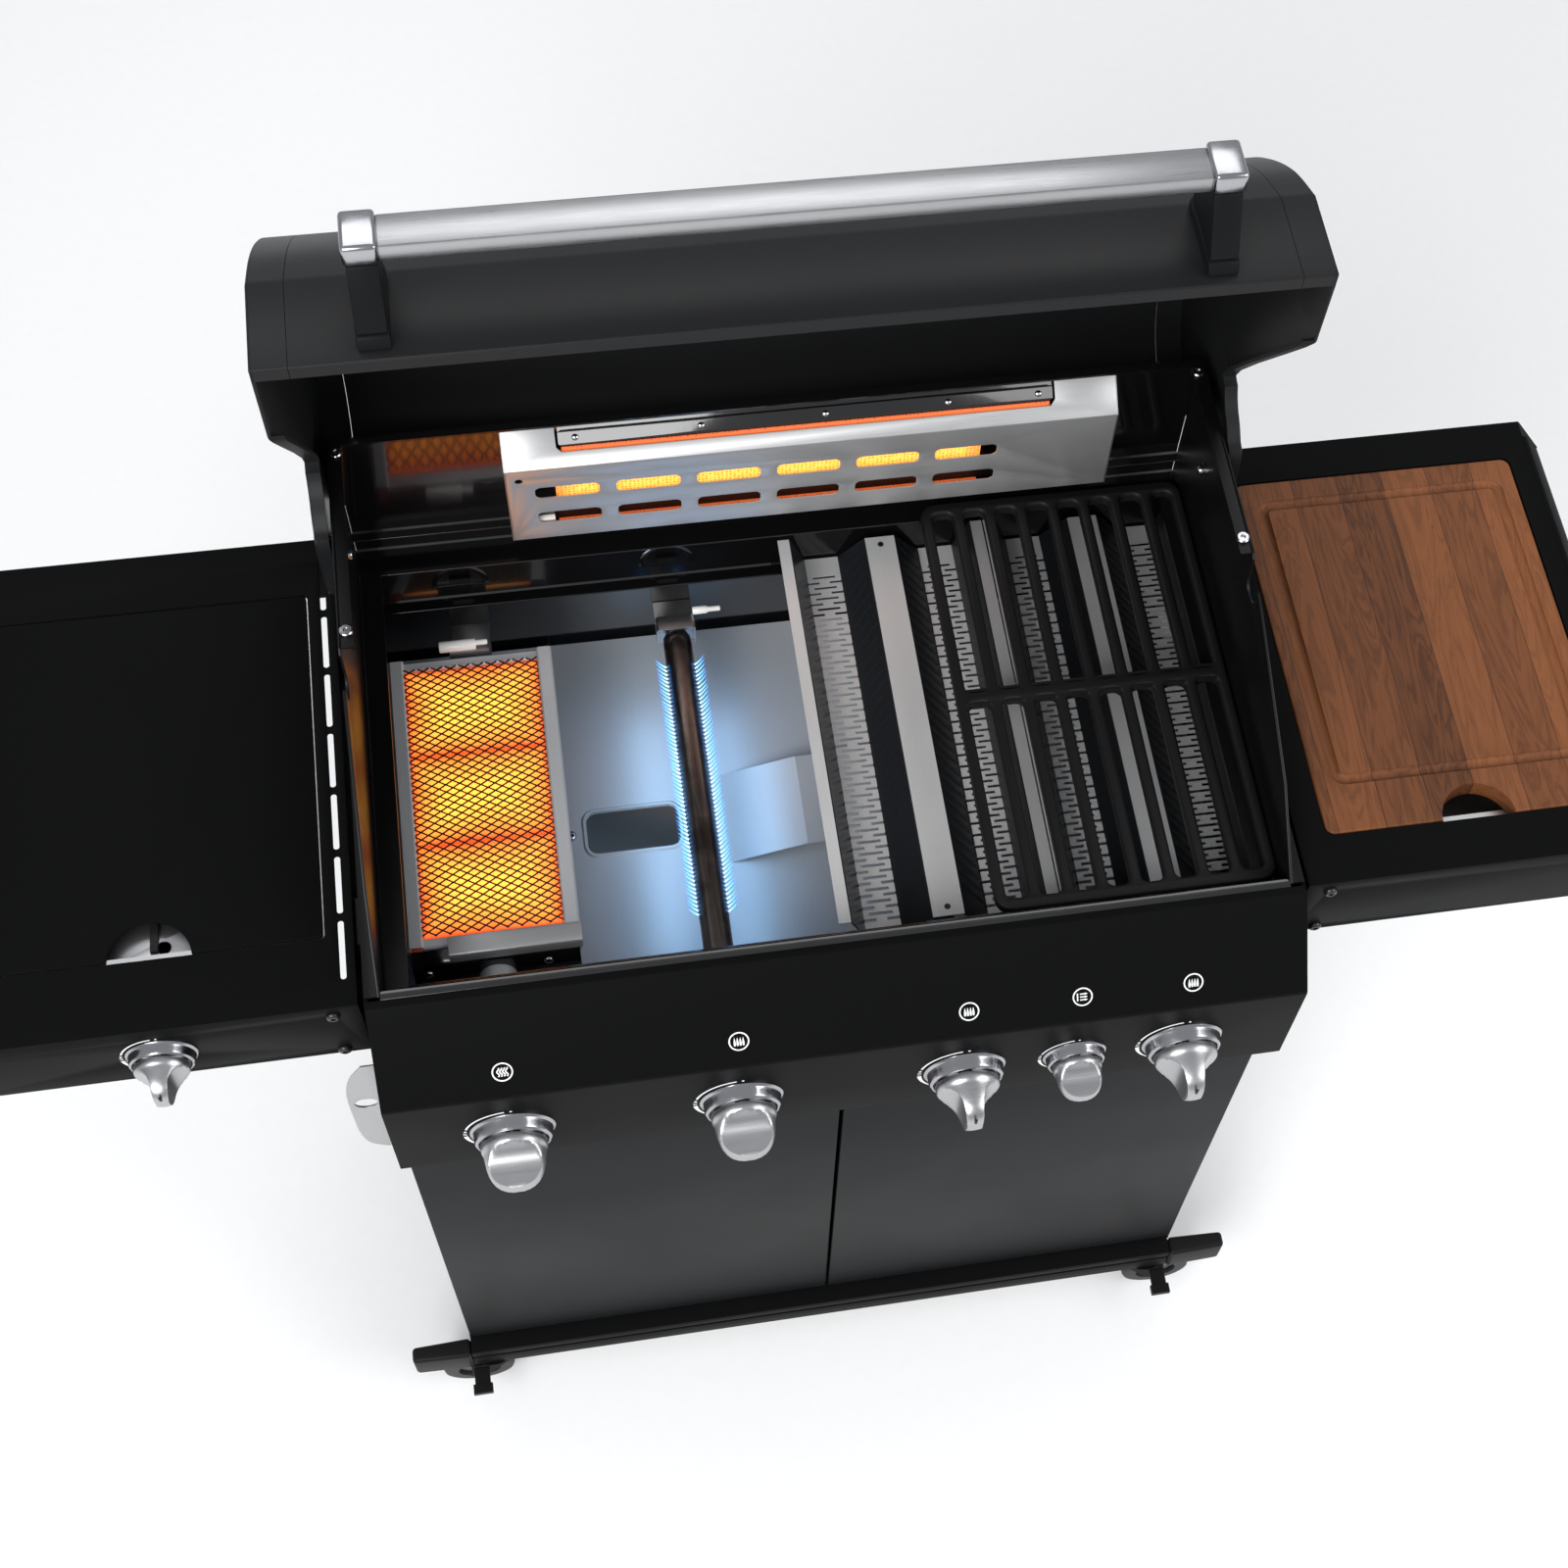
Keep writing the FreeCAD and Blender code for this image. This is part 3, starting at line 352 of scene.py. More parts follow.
ALONG_X, ALONG_Y, ALONG_Z = (26, 1100, 1100), (1100, 26, 1100), (1100, 1100, 26)
LOOK = {
    "satin_black": coated("satin_black", (0.0032, 0.0033, 0.0035), 0.5,
                          Specular_IOR_Level=0.035),
    "lid_black": coated("lid_black", (0.0088, 0.0092, 0.0098), 0.42, grain=900.0, relief=0.16,
                        Specular_IOR_Level=0.2),
    "door_grey": coated("door_grey", (0.0062, 0.0067, 0.0074), 0.45, Specular_IOR_Level=0.07),
    "black_enamel": coated("black_enamel", (0.0035, 0.0035, 0.0038), 0.12, grain=90.0,
                           speckle=0.2, relief=0.10, Coat_Weight=0.6, Coat_Roughness=0.04),
    "side_enamel": coated("side_enamel", (0.0030, 0.0030, 0.0033), 0.34, grain=90.0,
                          speckle=0.2, relief=0.08, Specular_IOR_Level=0.22),
    # The tamer's slope coat: near-black, as painted shade standing in for the dark that the slopes
    # reflect.
    "tamer_enamel": coated("tamer_enamel", (0.009, 0.010, 0.012), 0.3, grain=500.0,
                           speckle=0.5),
    "cast_iron": coated("cast_iron", (0.0055, 0.0055, 0.0060), 0.5, grain=700.0, speckle=0.6,
                        relief=0.35, Specular_IOR_Level=0.22),
    "mesh_wire": coated("mesh_wire", (0.006, 0.004, 0.004), 0.5, grain=900.0),
    "brushed_steel": metal("brushed_steel", (0.39, 0.39, 0.40), 0.26, ALONG_X),
    "steel_lengthways": metal("steel_lengthways", (0.62, 0.62, 0.63), 0.3, ALONG_Y),
    "steel_upright": metal("steel_upright", (0.42, 0.42, 0.43), 0.32, ALONG_Z),
    "sheet_steel": metal("sheet_steel", (0.56, 0.575, 0.60), 0.4, ALONG_Y, contrast=0.12,
                         relief=0.03, Metallic=0.45),
    # Pale, mostly diffuse steel: a painted reflection of the light on the tamer flats, and painted
    # light on the grease tray.
    "tamer_steel": metal("tamer_steel", (0.60, 0.60, 0.60), 0.42, ALONG_Y, contrast=0.16,
                         relief=0.03, Metallic=0.3),
    "shell_steel": metal("shell_steel", (0.50, 0.50, 0.505), 0.32, ALONG_X, contrast=0.12,
                         relief=0.03, Metallic=0.7),
    "dark_steel": heat_tinted("dark_steel"),
    "bezel_chrome": metal("bezel_chrome", (0.38, 0.38, 0.40), 0.11, (60, 60, 60), contrast=0.06,
                          relief=0.01),
    "knob_metal": metal("knob_metal", (0.43, 0.43, 0.44), 0.28, ALONG_X, contrast=0.14,
                        relief=0.03),
    "glowing_ceramic": glowing("glowing_ceramic", (1.0, 0.40, 0.045), (0.50, 0.06, 0.010), 430.0,
                               24.0, 2.4),
    "glowing_rear": glowing("glowing_rear", (1.0, 0.36, 0.05), (0.62, 0.12, 0.02), 300.0, 12.0,
                            2.1),
    "glowing_low": glowing("glowing_low", (0.85, 0.16, 0.03), (0.5, 0.06, 0.02), 300.0, 14.0,
                           0.7),
    "white_ceramic": coated("white_ceramic", (0.82, 0.81, 0.78), 0.25, grain=300.0, speckle=0.1),
    "brass": metal("brass", (0.62, 0.45, 0.2), 0.3, ALONG_X),
    "walnut": oiled_walnut(),
    "black_plastic": coated("black_plastic", (0.0055, 0.0055, 0.006), 0.5, grain=2200.0,
                            Specular_IOR_Level=0.15),
    "wheel_rubber": coated("wheel_rubber", (0.016, 0.016, 0.017), 0.6, grain=1800.0),
    "wheel_grey": coated("wheel_grey", (0.10, 0.105, 0.11), 0.42, grain=1600.0),
    "black_screw": coated("black_screw", (0.01, 0.01, 0.01), 0.3, grain=500.0),
    "white_print": coated("white_print", (0.86, 0.86, 0.86), 0.5, grain=2600.0, speckle=0.08,
                          relief=0.02),
    "studio_floor": coated("studio_floor", (0.93, 0.93, 0.93), 0.9, grain=60.0, speckle=0.03),
    "flame_blue": flame_blue(),
}


# ------------------------------------------------------------------------ mesh tools
# Shapes are added to a bmesh in deck millimetres.  A plane is named by the axis across it.
def spread(axis, u, v, along):
    """The point at (u, v) in the plane across an axis: x is (y, z), y is (x, z), z is (x, y).
    An axis may also be a function that sets the point in a tilted plane."""
    if callable(axis):
        return axis(u, v, along)
    return {"x": (along, u, v), "y": (u, along, v), "z": (u, v, along)}[axis]


def skin(bm, rings, closed=True, caps=True):
    """Joins rings of points, in order, with quads."""
    made = [[bm.verts.new(p) for p in ring] for ring in rings]
    count = len(made[0])
    for low, high in zip(made, made[1:]):
        for i in range(count if closed else count - 1):
            j = (i + 1) % count
            bm.faces.new((low[i], low[j], high[j], high[i]))
    if caps and closed:
        bm.faces.new(made[0][::-1])
        bm.faces.new(made[-1])
    return made


def block(bm, low, high):
    """A box between two corners."""
    (a, b, c), (d, e, f) = low, high
    skin(bm, [[(a, b, z), (d, b, z), (d, e, z), (a, e, z)] for z in (c, f)])


def prism(bm, outline, axis, start, end):
    """A closed outline drawn out along an axis."""
    skin(bm, [[spread(axis, u, v, along) for u, v in outline] for along in (start, end)])


def inward(points, gap):
    """An open line moved to its right-hand side by gap, with mitred corners."""
    made = []
    for i, (u, v) in enumerate(points):
        runs = []
        for a, b in ((i - 1, i), (i, i + 1)):
            if 0 <= a and b < len(points):
                du, dv = points[b][0] - points[a][0], points[b][1] - points[a][1]
                size = math.hypot(du, dv)
                runs.append((dv / size, -du / size))
        nu, nv = sum(r[0] for r in runs) / len(runs), sum(r[1] for r in runs) / len(runs)
        size = nu * nu + nv * nv
        made.append((u + gap * nu / size, v + gap * nv / size))
    return made


def ribbon(bm, line, gap, axis, start, end):
    """A bent sheet of thickness gap that follows a line and runs from start to end."""
    other = inward(line, gap)
    rings = []
    for (u, v), (s, t) in zip(line, other):
        rings.append([spread(axis, u, v, start), spread(axis, u, v, end),
                      spread(axis, s, t, end), spread(axis, s, t, start)])
    skin(bm, rings)


def lathe(bm, profile, centre, axis="z", steps=48, caps=True):
    """Turns (radius, height) points about an axis, such as z or -y, through centre."""
    sign, name = (-1, axis[1]) if axis[0] == "-" else (1, axis)
    rings = []
    for radius, height in profile:
        ring = []
        for k in range(steps):
            turn = sign * math.tau * k / steps
            u, v = radius * math.cos(turn), radius * math.sin(turn)
            ring.append(Vector(centre) + Vector(spread(name, u, v, sign * height)))
        rings.append(ring)
    skin(bm, rings, caps=caps)


def arc(centre, radius, start, end, steps=6):
    """Points on a circle between two angles in degrees."""
    made = []
    for k in range(steps + 1):
        turn = math.radians(start + (end - start) * k / steps)
        made.append((centre[0] + radius * math.cos(turn), centre[1] + radius * math.sin(turn)))
    return made


def rounded_box(low, high, radius, steps=5):
    """A rectangle with round corners, as a line of points."""
    (a, b), (c, d) = low, high
    corners = ((c - radius, b + radius, -90), (c - radius, d - radius, 0),
               (a + radius, d - radius, 90), (a + radius, b + radius, 180))
    return [p for u, v, turn in corners for p in arc((u, v), radius, turn, turn + 90, steps)]


def smooth(points, steps=8):
    """Points along a Catmull-Rom curve through the given ones."""
    row = [points[0]] + points + [points[-1]]
    made = []
    for a, b, c, d in zip(row, row[1:], row[2:], row[3:]):
        for step in range(steps):
            t = step / steps
            made.append(tuple(
                0.5 * (2 * q + (r - p) * t + (2 * p - 5 * q + 4 * r - w) * t * t
                       + (3 * q - p - 3 * r + w) * t ** 3)
                for p, q, r, w in zip(a, b, c, d)))
    return made + [points[-1]]


def sheet_metal(bm, axis, low, high, outline, holes=(), edge=0.5):
    """A flat plate between two levels, with holes and a rounded edge."""
    curve = bpy.data.curves.new("cut_sheet", "CURVE")
    curve.dimensions, curve.fill_mode = "2D", "BOTH"
    edge = min(edge, (high - low) * 0.45)
    curve.extrude, curve.bevel_depth, curve.bevel_resolution = (high - low) / 2 - edge, edge, 1
    curve.offset = -edge
    for line in (outline, *holes):
        spline = curve.splines.new("POLY")
        spline.points.add(len(line) - 1)
        for point, (u, v) in zip(spline.points, line):
            point.co = (u, v, 0, 1)
        spline.use_cyclic_u = True
    holder = bpy.data.objects.new("cut_sheet", curve)
    mesh = bpy.data.meshes.new_from_object(holder)
    middle = (low + high) / 2
    for vertex in mesh.vertices:
        u, v, w = vertex.co
        vertex.co = spread(axis, u, v, middle + w)
    bm.from_mesh(mesh)
    bpy.data.objects.remove(holder)
    bpy.data.meshes.remove(mesh)
    bpy.data.curves.remove(curve)


def piece(name, bm, look, body="root", stands_for=(), edge=0.0, steps=2, fold=30,
          shade=40):
    """Finishes a bmesh as a piece: rounds its folds, shades it and sets it on its body."""
    bmesh.ops.remove_doubles(bm, verts=bm.verts, dist=0.002)
    bmesh.ops.recalc_face_normals(bm, faces=bm.faces)
    if edge:
        sharp = [e for e in bm.edges
                 if len(e.link_faces) == 2 and e.calc_face_angle(0) > math.radians(fold)]
        bmesh.ops.bevel(bm, geom=sharp, offset=edge, segments=steps, profile=0.5,
                        affect="EDGES", clamp_overlap=True)
    for vertex in bm.verts:
        vertex.co = on_deck(*vertex.co)
    mesh = bpy.data.meshes.new(name)
    bm.to_mesh(mesh)
    bm.free()
    mesh.shade_smooth()
    mesh.set_sharp_from_angle(angle=math.radians(shade))
    mesh.materials.append(LOOK[look])
    made = bpy.data.objects.new(name, mesh)
    bpy.context.scene.collection.objects.link(made)
    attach(made, body)
    if stands_for:
        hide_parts(*([stands_for] if isinstance(stands_for, str) else stands_for))
    return made


def carve(made, bm):
    """Cuts a closed shape out of a piece."""
    for vertex in bm.verts:
        vertex.co = on_deck(*vertex.co)
    bmesh.ops.recalc_face_normals(bm, faces=bm.faces)
    mesh = bpy.data.meshes.new("cutter")
    bm.to_mesh(mesh)
    bm.free()
    cutter = bpy.data.objects.new("cutter", mesh)
    bpy.context.scene.collection.objects.link(cutter)
    cut = made.modifiers.new("carve", "BOOLEAN")
    cut.operation, cut.solver, cut.object = "DIFFERENCE", "EXACT", cutter
    bpy.context.view_layer.update()
    evaluated = made.evaluated_get(bpy.context.evaluated_depsgraph_get())
    result = bpy.data.meshes.new_from_object(evaluated)
    made.modifiers.remove(cut)
    old, made.data = made.data, result
    result.name = made.name
    bpy.data.meshes.remove(old)
    bpy.data.objects.remove(cutter)
    bpy.data.meshes.remove(mesh)
    made.data.shade_smooth()
    made.data.set_sharp_from_angle(angle=math.radians(40))


def shape():
    """An empty bmesh to add shapes to."""
    return bmesh.new()


def screw(bm, centre, axis, radius, tall, socket=True):
    """A button head with a hexagon socket."""
    profile = [(radius, 0), (radius, tall * 0.35), (radius * 0.86, tall * 0.75),
               (radius * 0.6, tall)]
    if socket:
        profile += [(radius * 0.42, tall), (radius * 0.38, tall * 0.35), (0.01, tall * 0.35)]
    else:
        profile += [(radius * 0.3, tall * 1.06), (0.01, tall * 1.08)]
    lathe(bm, profile, centre, axis, 24)


# ------------------------------------------------------------------------ side tables
TABLE_INNER, TABLE_OUTER, TABLE_DEEP, TABLE_DROP = 374.7, 692.6, 428.0, 87.6
TABLE_BEVEL, CORNER_CUT, SHEET = 19.6, 17.0, 2.0
SLOT_SIDE, SLOT_WIDE, SLOT_LONG, SLOT_PITCH, SLOT_FIRST, SLOTS = 384.0, 4.6, 49.3, 55.7, 47.8, 7
BOLT_SIDE, BOLT_LEVELS = 395.0, (-15.0, -80.0)
SIDE_BURNER_X = -528.0
RECESS = ((396.6, 59.0), (655.0, 373.6))
BOARD = ((399.0, 42.6), (653.7, 390.3))


def mirrored(points, side):
    """Points of the right-hand side, put on the given side."""
    return [(side * u, v) for u, v in points]


def side_table(side, opening, holes_in_front=()):
    """A folded table shell on one side, with an opening in its top."""
    bm = shape()
    edge_out = TABLE_OUTER - TABLE_BEVEL
    top = [(TABLE_INNER, 0), (edge_out, 0), (edge_out, TABLE_DEEP), (TABLE_INNER, TABLE_DEEP)]
    holes = [opening]
    for step in range(SLOTS if side < 0 else 0):
        middle = SLOT_FIRST + step * SLOT_PITCH
        holes.append(rounded_box((SLOT_SIDE - SLOT_WIDE / 2, middle - SLOT_LONG / 2),
                                 (SLOT_SIDE + SLOT_WIDE / 2, middle + SLOT_LONG / 2), 2.2))
    sheet_metal(bm, "z", -SHEET, 0, mirrored(top, side), [mirrored(h, side) for h in holes], 0.8)
    bend = arc((edge_out, -7), 7, 90, 52, 4)
    slope = arc((TABLE_OUTER - 4, -TABLE_BEVEL - 3), 4, 40, 0, 4)
    line = [(side * u, v) for u, v in
            [(edge_out - 1, 0)] + bend + slope + [(TABLE_OUTER, -TABLE_DROP)]]
    ribbon(bm, line, SHEET * side, "y", 0.3, TABLE_DEEP - CORNER_CUT)
    corner = [(side * (TABLE_OUTER - CORNER_CUT), TABLE_DEEP),
              (side * TABLE_OUTER, TABLE_DEEP - CORNER_CUT)]
    ribbon(bm, corner, SHEET * side, "z", -TABLE_DROP, -TABLE_BEVEL)
    chamfer = [(side * edge_out, TABLE_DEEP - CORNER_CUT, 0), (side * edge_out, TABLE_DEEP, 0),
               (side * (TABLE_OUTER - CORNER_CUT), TABLE_DEEP, CORNER_CUT - TABLE_BEVEL),
               (side * TABLE_OUTER, TABLE_DEEP - CORNER_CUT, -TABLE_BEVEL)]
    cheek = [chamfer[2], chamfer[3], (*chamfer[2][:2], -TABLE_BEVEL)]
    for patch in (chamfer, cheek):
        inside = [(x - side * 1.5, y - 1.5, z - 1.5) for x, y, z in patch]
        skin(bm, [patch, inside])
    front = [(TABLE_INNER, -0.2), (edge_out, -0.2), (TABLE_OUTER - 0.2, -TABLE_BEVEL),
             (TABLE_OUTER - 0.2, -TABLE_DROP), (TABLE_INNER, -TABLE_DROP)]
    bolts = [arc((BOLT_SIDE, level), 2.7, 0, 345, 23) for level in BOLT_LEVELS]
    sheet_metal(bm, "y", 0, SHEET, mirrored(front, side),
                [mirrored(h, side) for h in bolts] + list(holes_in_front), 0.9)
    back = [(u if u < edge_out else u - CORNER_CUT, v) for u, v in front]
    sheet_metal(bm, "y", TABLE_DEEP - SHEET, TABLE_DEEP, mirrored(back, side), (), 0.9)
    inner = [(side * TABLE_INNER, 0.3), (side * TABLE_INNER, TABLE_DEEP - 0.3)]
    ribbon(bm, inner, SHEET * side, "z", -TABLE_DROP, -0.3)
    hem = [(side * TABLE_OUTER, -TABLE_DROP), (side * (TABLE_OUTER - 14), -TABLE_DROP)]
    ribbon(bm, hem, SHEET * side, "y", 0.3, TABLE_DEEP - CORNER_CUT)
    return bm


def left_table():
    """The left table: its folded shell, the frame of the recess and the finger plate."""
    spot = KNOBS["knob_side_burner"]
    hole = arc((spot.x, spot.z), 6, 0, 345, 23)
    bm = side_table(-1, rounded_box(*RECESS, 3), [hole])
    piece("left_table_shell", bm, "satin_black", stands_for="left_table")
    bm = shape()
    (near, front), (far, back) = RECESS
    for low, high in (((-far - 3, front - 3), (-far + 3, back + 3)),
                      ((-near - 3, front - 3), (-near + 3, back + 3)),
                      ((-far, front - 3), (-near, front + 3)),
                      ((-far, back - 3), (-near, back + 3))):
        block(bm, (*low, -6.5), (*high, -SHEET - 1.6))
    piece("left_recess_frame", bm, "satin_black", edge=0.5)
    bm = shape()
    left, right = SIDE_BURNER_X - 47, SIDE_BURNER_X + 47
    plate = [(left, 56), (right, 56), (right, 98), (left, 98)]
    pull_hole = arc((SIDE_BURNER_X + 9, 74), 5.5, 0, 345, 23)
    sheet_metal(bm, "z", -15.5, -14, plate, [pull_hole], 0.4)
    piece("finger_plate", bm, "steel_upright")


def side_cover():
    """The flush cover of the side burner, with a half-moon notch for a finger."""
    low, high = deck_box("side_burner_cover")
    middle, reach = (SIDE_BURNER_X, 58), 32
    rise = math.degrees(math.asin((low.y - middle[1]) / reach))
    notch = arc(middle, reach, 180 - rise, rise, 24)
    corners = [arc((u, v), 3, turn, turn + 90, 4) for u, v, turn in
               ((high.x - 3, low.y + 3, -90), (high.x - 3, high.y - 3, 0),
                (low.x + 3, high.y - 3, 90), (low.x + 3, low.y + 3, 180))]
    outline = notch + [p for corner in corners for p in corner]
    bm = shape()
    sheet_metal(bm, "z", low.z, high.z, outline, (), 0.7)
    piece("side_burner_lid", bm, "satin_black", "side_cover",
          "side_burner_cover")


def table_bolts():
    """Two bolts at each table front, and the spacers that hold the tables."""
    bm = shape()
    for _, side in SIDES:
        for level in BOLT_LEVELS:
            screw(bm, (side * BOLT_SIDE, -0.1, level), "-y", 5.5, 3.2)
            lathe(bm, [(2.5, 0), (2.5, 18)], (side * BOLT_SIDE, 0.4, level), "y", 16)
        near = deck_box("cabinet_side_right")[1].x
        for y in (60, 330):
            ends = sorted((side * near, side * TABLE_INNER))
            block(bm, (ends[0], y, -70), (ends[1], y + 40, -20))
    piece("table_bolts", bm, "black_screw", stands_for="table_fasteners")


def right_table():
    """The right table, with the recess that the board and its pan rest in."""
    bm = side_table(1, rounded_box(*BOARD, 8))
    (near, front), (far, back) = BOARD
    ledge = rounded_box((near + 8, front + 8), (far - 8, back - 8), 8)
    sheet_metal(bm, "z", -23, -20.5, rounded_box((near - 2, front - 2), (far + 2, back + 2), 9),
                [ledge], 0.5)
    wall, head, foot = 1.2, -SHEET, -20.7
    outer = rounded_box((near - wall, front - wall), (far + wall, back + wall), 9)
    inner = rounded_box((near, front), (far, back), 8)
    skin(bm, [[(u, v, level) for u, v in line] for line, level in
              ((outer, head), (outer, foot), (inner, foot), (inner, head), (outer, head))],
         caps=False)
    piece("right_table_shell", bm, "satin_black", stands_for="right_table")


def cutting_board():
    """A board of glued staves with a finger cut-out and a juice groove."""
    low, high = deck_box("cutting_board")
    bm = shape()
    outline = rounded_box((low.x, low.y), (high.x, high.y), 8)
    prism(bm, outline, "z", low.z, high.z)
    board = piece("walnut_board", bm, "walnut", "board", "cutting_board", edge=1.6,
                  steps=3, fold=60)
    bm = shape()
    lathe(bm, [(31, -9), (31, 16.5), (32, 19.5), (34, 22)], (530, 42.5, low.z), steps=64)
    carve(board, bm)
    groove = rounded_box((419.5, 91.5), (634.5, 364.5), 9, 6)
    half_wide, deep, lift = 5.4, 4.6, 1.2
    bm = shape()
    rings = []
    for i, (u, v) in enumerate(groove):
        a, b = groove[i - 1], groove[(i + 1) % len(groove)]
        ahead = Vector((b[0] - a[0], b[1] - a[1])).normalized()
        out = Vector((ahead.y, -ahead.x))
        ring = [(u + out.x * half_wide * math.cos(t), v + out.y * half_wide * math.cos(t),
                 high.z + lift + deep * math.sin(t))
                for t in (math.tau * k / 16 for k in range(16))]
        rings.append(ring)
    skin(bm, rings + [rings[0]], caps=False)
    bmesh.ops.remove_doubles(bm, verts=bm.verts, dist=0.001)
    carve(board, bm)


# ------------------------------------------------------------------------ control panel
PANEL_HALF, PANEL_FACE, PANEL_BEND, PANEL_FOOT, RIM_TOP = 368.5, -67.0, -60.0, -185.0, 9.5
PITCH, SMALL_SIDE, KNOB_LEVEL = 182.5, 183.0, -125.0
SMALL_SCALE, SIDE_SCALE = 0.78, 0.8
KNOBS = {
    "knob_infrared": Vector((-1.5 * PITCH, PANEL_FACE, KNOB_LEVEL)),
    "knob_main_left": Vector((-0.5 * PITCH, PANEL_FACE, KNOB_LEVEL)),
    "knob_main_middle": Vector((0.5 * PITCH, PANEL_FACE, KNOB_LEVEL)),
    "knob_back_burner": Vector((SMALL_SIDE, PANEL_FACE, KNOB_LEVEL)),
    "knob_main_right": Vector((1.5 * PITCH, PANEL_FACE, KNOB_LEVEL)),
    "knob_side_burner": Vector((SIDE_BURNER_X, 0.0, -46.0)),
}
KNOB_SCALE = {"knob_back_burner": SMALL_SCALE, "knob_side_burner": SIDE_SCALE}
LIT_KNOBS = ("knob_infrared", "knob_main_left", "knob_back_burner")


def control_panel():
    """The bent fascia with closed ends and a hole for each valve shaft."""
    crown = arc((-8, RIM_TOP - 4), 4, 90, 130, 4)
    line = [(-3, RIM_TOP), (-7, RIM_TOP)] + crown
    line += arc((PANEL_FACE + 9, PANEL_BEND - 2), 9, 143, 180, 8)
    line += arc((PANEL_FACE + 3, PANEL_FOOT + 3), 3, 180, 270, 4) + [(-52, PANEL_FOOT)]
    bm = shape()
    ribbon(bm, line, -2.0, "x", -PANEL_HALF, PANEL_HALF)
    end = [(-24, PANEL_FOOT), (PANEL_FACE + 1.5, PANEL_FOOT + 0.5),
           (PANEL_FACE + 0.5, PANEL_BEND - 4), (PANEL_FACE + 3, PANEL_BEND + 2), (-24, -11)]
    for _, side in SIDES:
        ends = sorted((side * PANEL_HALF, side * (PANEL_HALF - 2)))
        sheet_metal(bm, "x", ends[0], ends[1], end, (), 0.6)
    panel = piece("panel_shell", bm, "satin_black",
                  stands_for="control_panel")
    for spot in KNOBS.values():
        if spot.y == PANEL_FACE:
            bm = shape()
            lathe(bm, [(5.5, -4), (5.5, 6)], spot, "y", 24)
            carve(panel, bm)


def knob(name):
    """Round skirt, then a grip whose flanks curve in to a narrow ridge."""
    spot, size = KNOBS[name], KNOB_SCALE.get(name, 1)
    base = 12.4
    lit = name in LIT_KNOBS
    profile = [(25.0, 0.0, 99), (26.3, 0.6, 99), (26.5, 3.0, 99), (26.2, 5.5, 99),
               (25.6, 7.0, 99), (25.0, 8.0, 24.0), (24.6, 9.5, 20.0), (24.2, 12.0, 15.6),
               (23.8, 15.0, 12.4), (23.4, 18.0, 10.4), (22.8, 21.0, 9.2), (21.7, 25.0, 8.2),
               (20.0, 29.0, 7.7), (17.6, 32.6, 7.4), (14.6, 35.4, 7.1), (11.0, 37.4, 6.8),
               (7.6, 38.6, 6.2), (5.4, 39.1, 4.8)]
    turns = 96
    bm = shape()
    rings = []
    for radius, height, half in profile:
        ring = []
        for k in range(turns):
            turn = math.tau * k / turns
            along, across = radius * math.cos(turn), radius * math.sin(turn)
            across = max(-half, min(half, across))
            dx, dz = (along, across) if lit else (-across, along)
            ring.append(spot + Vector((dx, -(base + height), dz)) * size)
        rings.append(ring)
    skin(bm, rings)
    lathe(bm, [(4, 0), (4, base * size + 7)], (spot.x, spot.y + 5, spot.z), "-y", 20)
    piece(name + "_grip", bm, "knob_metal", name, name, shade=32)
    if not lit:
        bm = shape()
        tip = spot.y - (base + 38.9) * size
        block(bm, (spot.x - 1.0, tip - 0.25, spot.z + 8 * size),
              (spot.x + 1.0, tip + 0.5, spot.z + 17 * size))
        piece(name + "_mark", bm, "black_plastic", name, edge=0.1)


def knob_bezels():
    """A stepped chrome ring round each knob."""
    bm = shape()
    for name, spot in KNOBS.items():
        size = KNOB_SCALE.get(name, 1)
        profile = [(34.0, 0.0), (34.0, 1.2), (33.2, 2.2), (32.0, 3.0), (31.3, 5.5), (30.9, 8.5),
                   (30.3, 10.6), (29.2, 11.8), (28.2, 12.0), (27.6, 11.4), (27.4, 9.0),
                   (27.4, 3.0), (6.0, 3.0), (6.0, 0.4)]
        lathe(bm, [(r * size, t * size) for r, t in profile], spot, "-y", 96, caps=False)
    piece("bezel_rings", bm, "bezel_chrome", stands_for="knob_bezels",
          shade=25)


# ------------------------------------------------------------------------ printed marks
PRINT_LIFT = 0.12


def stroke(bm, points, width, place):
    """A printed line of changing width: flat quads on a surface given by place(u, v)."""
    widths = width if isinstance(width, (list, tuple)) else [width] * len(points)
    sides = []
    for i, (u, v) in enumerate(points):
        a, b = points[max(i - 1, 0)], points[min(i + 1, len(points) - 1)]
        du, dv = b[0] - a[0], b[1] - a[1]
        size = math.hypot(du, dv) or 1
        nu, nv = -dv / size * widths[i] / 2, du / size * widths[i] / 2
        sides.append(((u + nu, v + nv), (u - nu, v - nv)))
    rings = []
    for (a, b), (c, d) in sides:
        rings.append([place(a, b, 0), place(c, d, 0), place(c, d, PRINT_LIFT),
                      place(a, b, PRINT_LIFT)])
    skin(bm, rings)


def dot(bm, u, v, radius, place):
    """A round printed dot."""
    stroke(bm, [(u - radius, v), (u - radius * 0.7, v), (u, v), (u + radius * 0.7, v),
                (u + radius, v)],
           [0.2, radius * 1.45, radius * 2, radius * 1.45, 0.2], place)


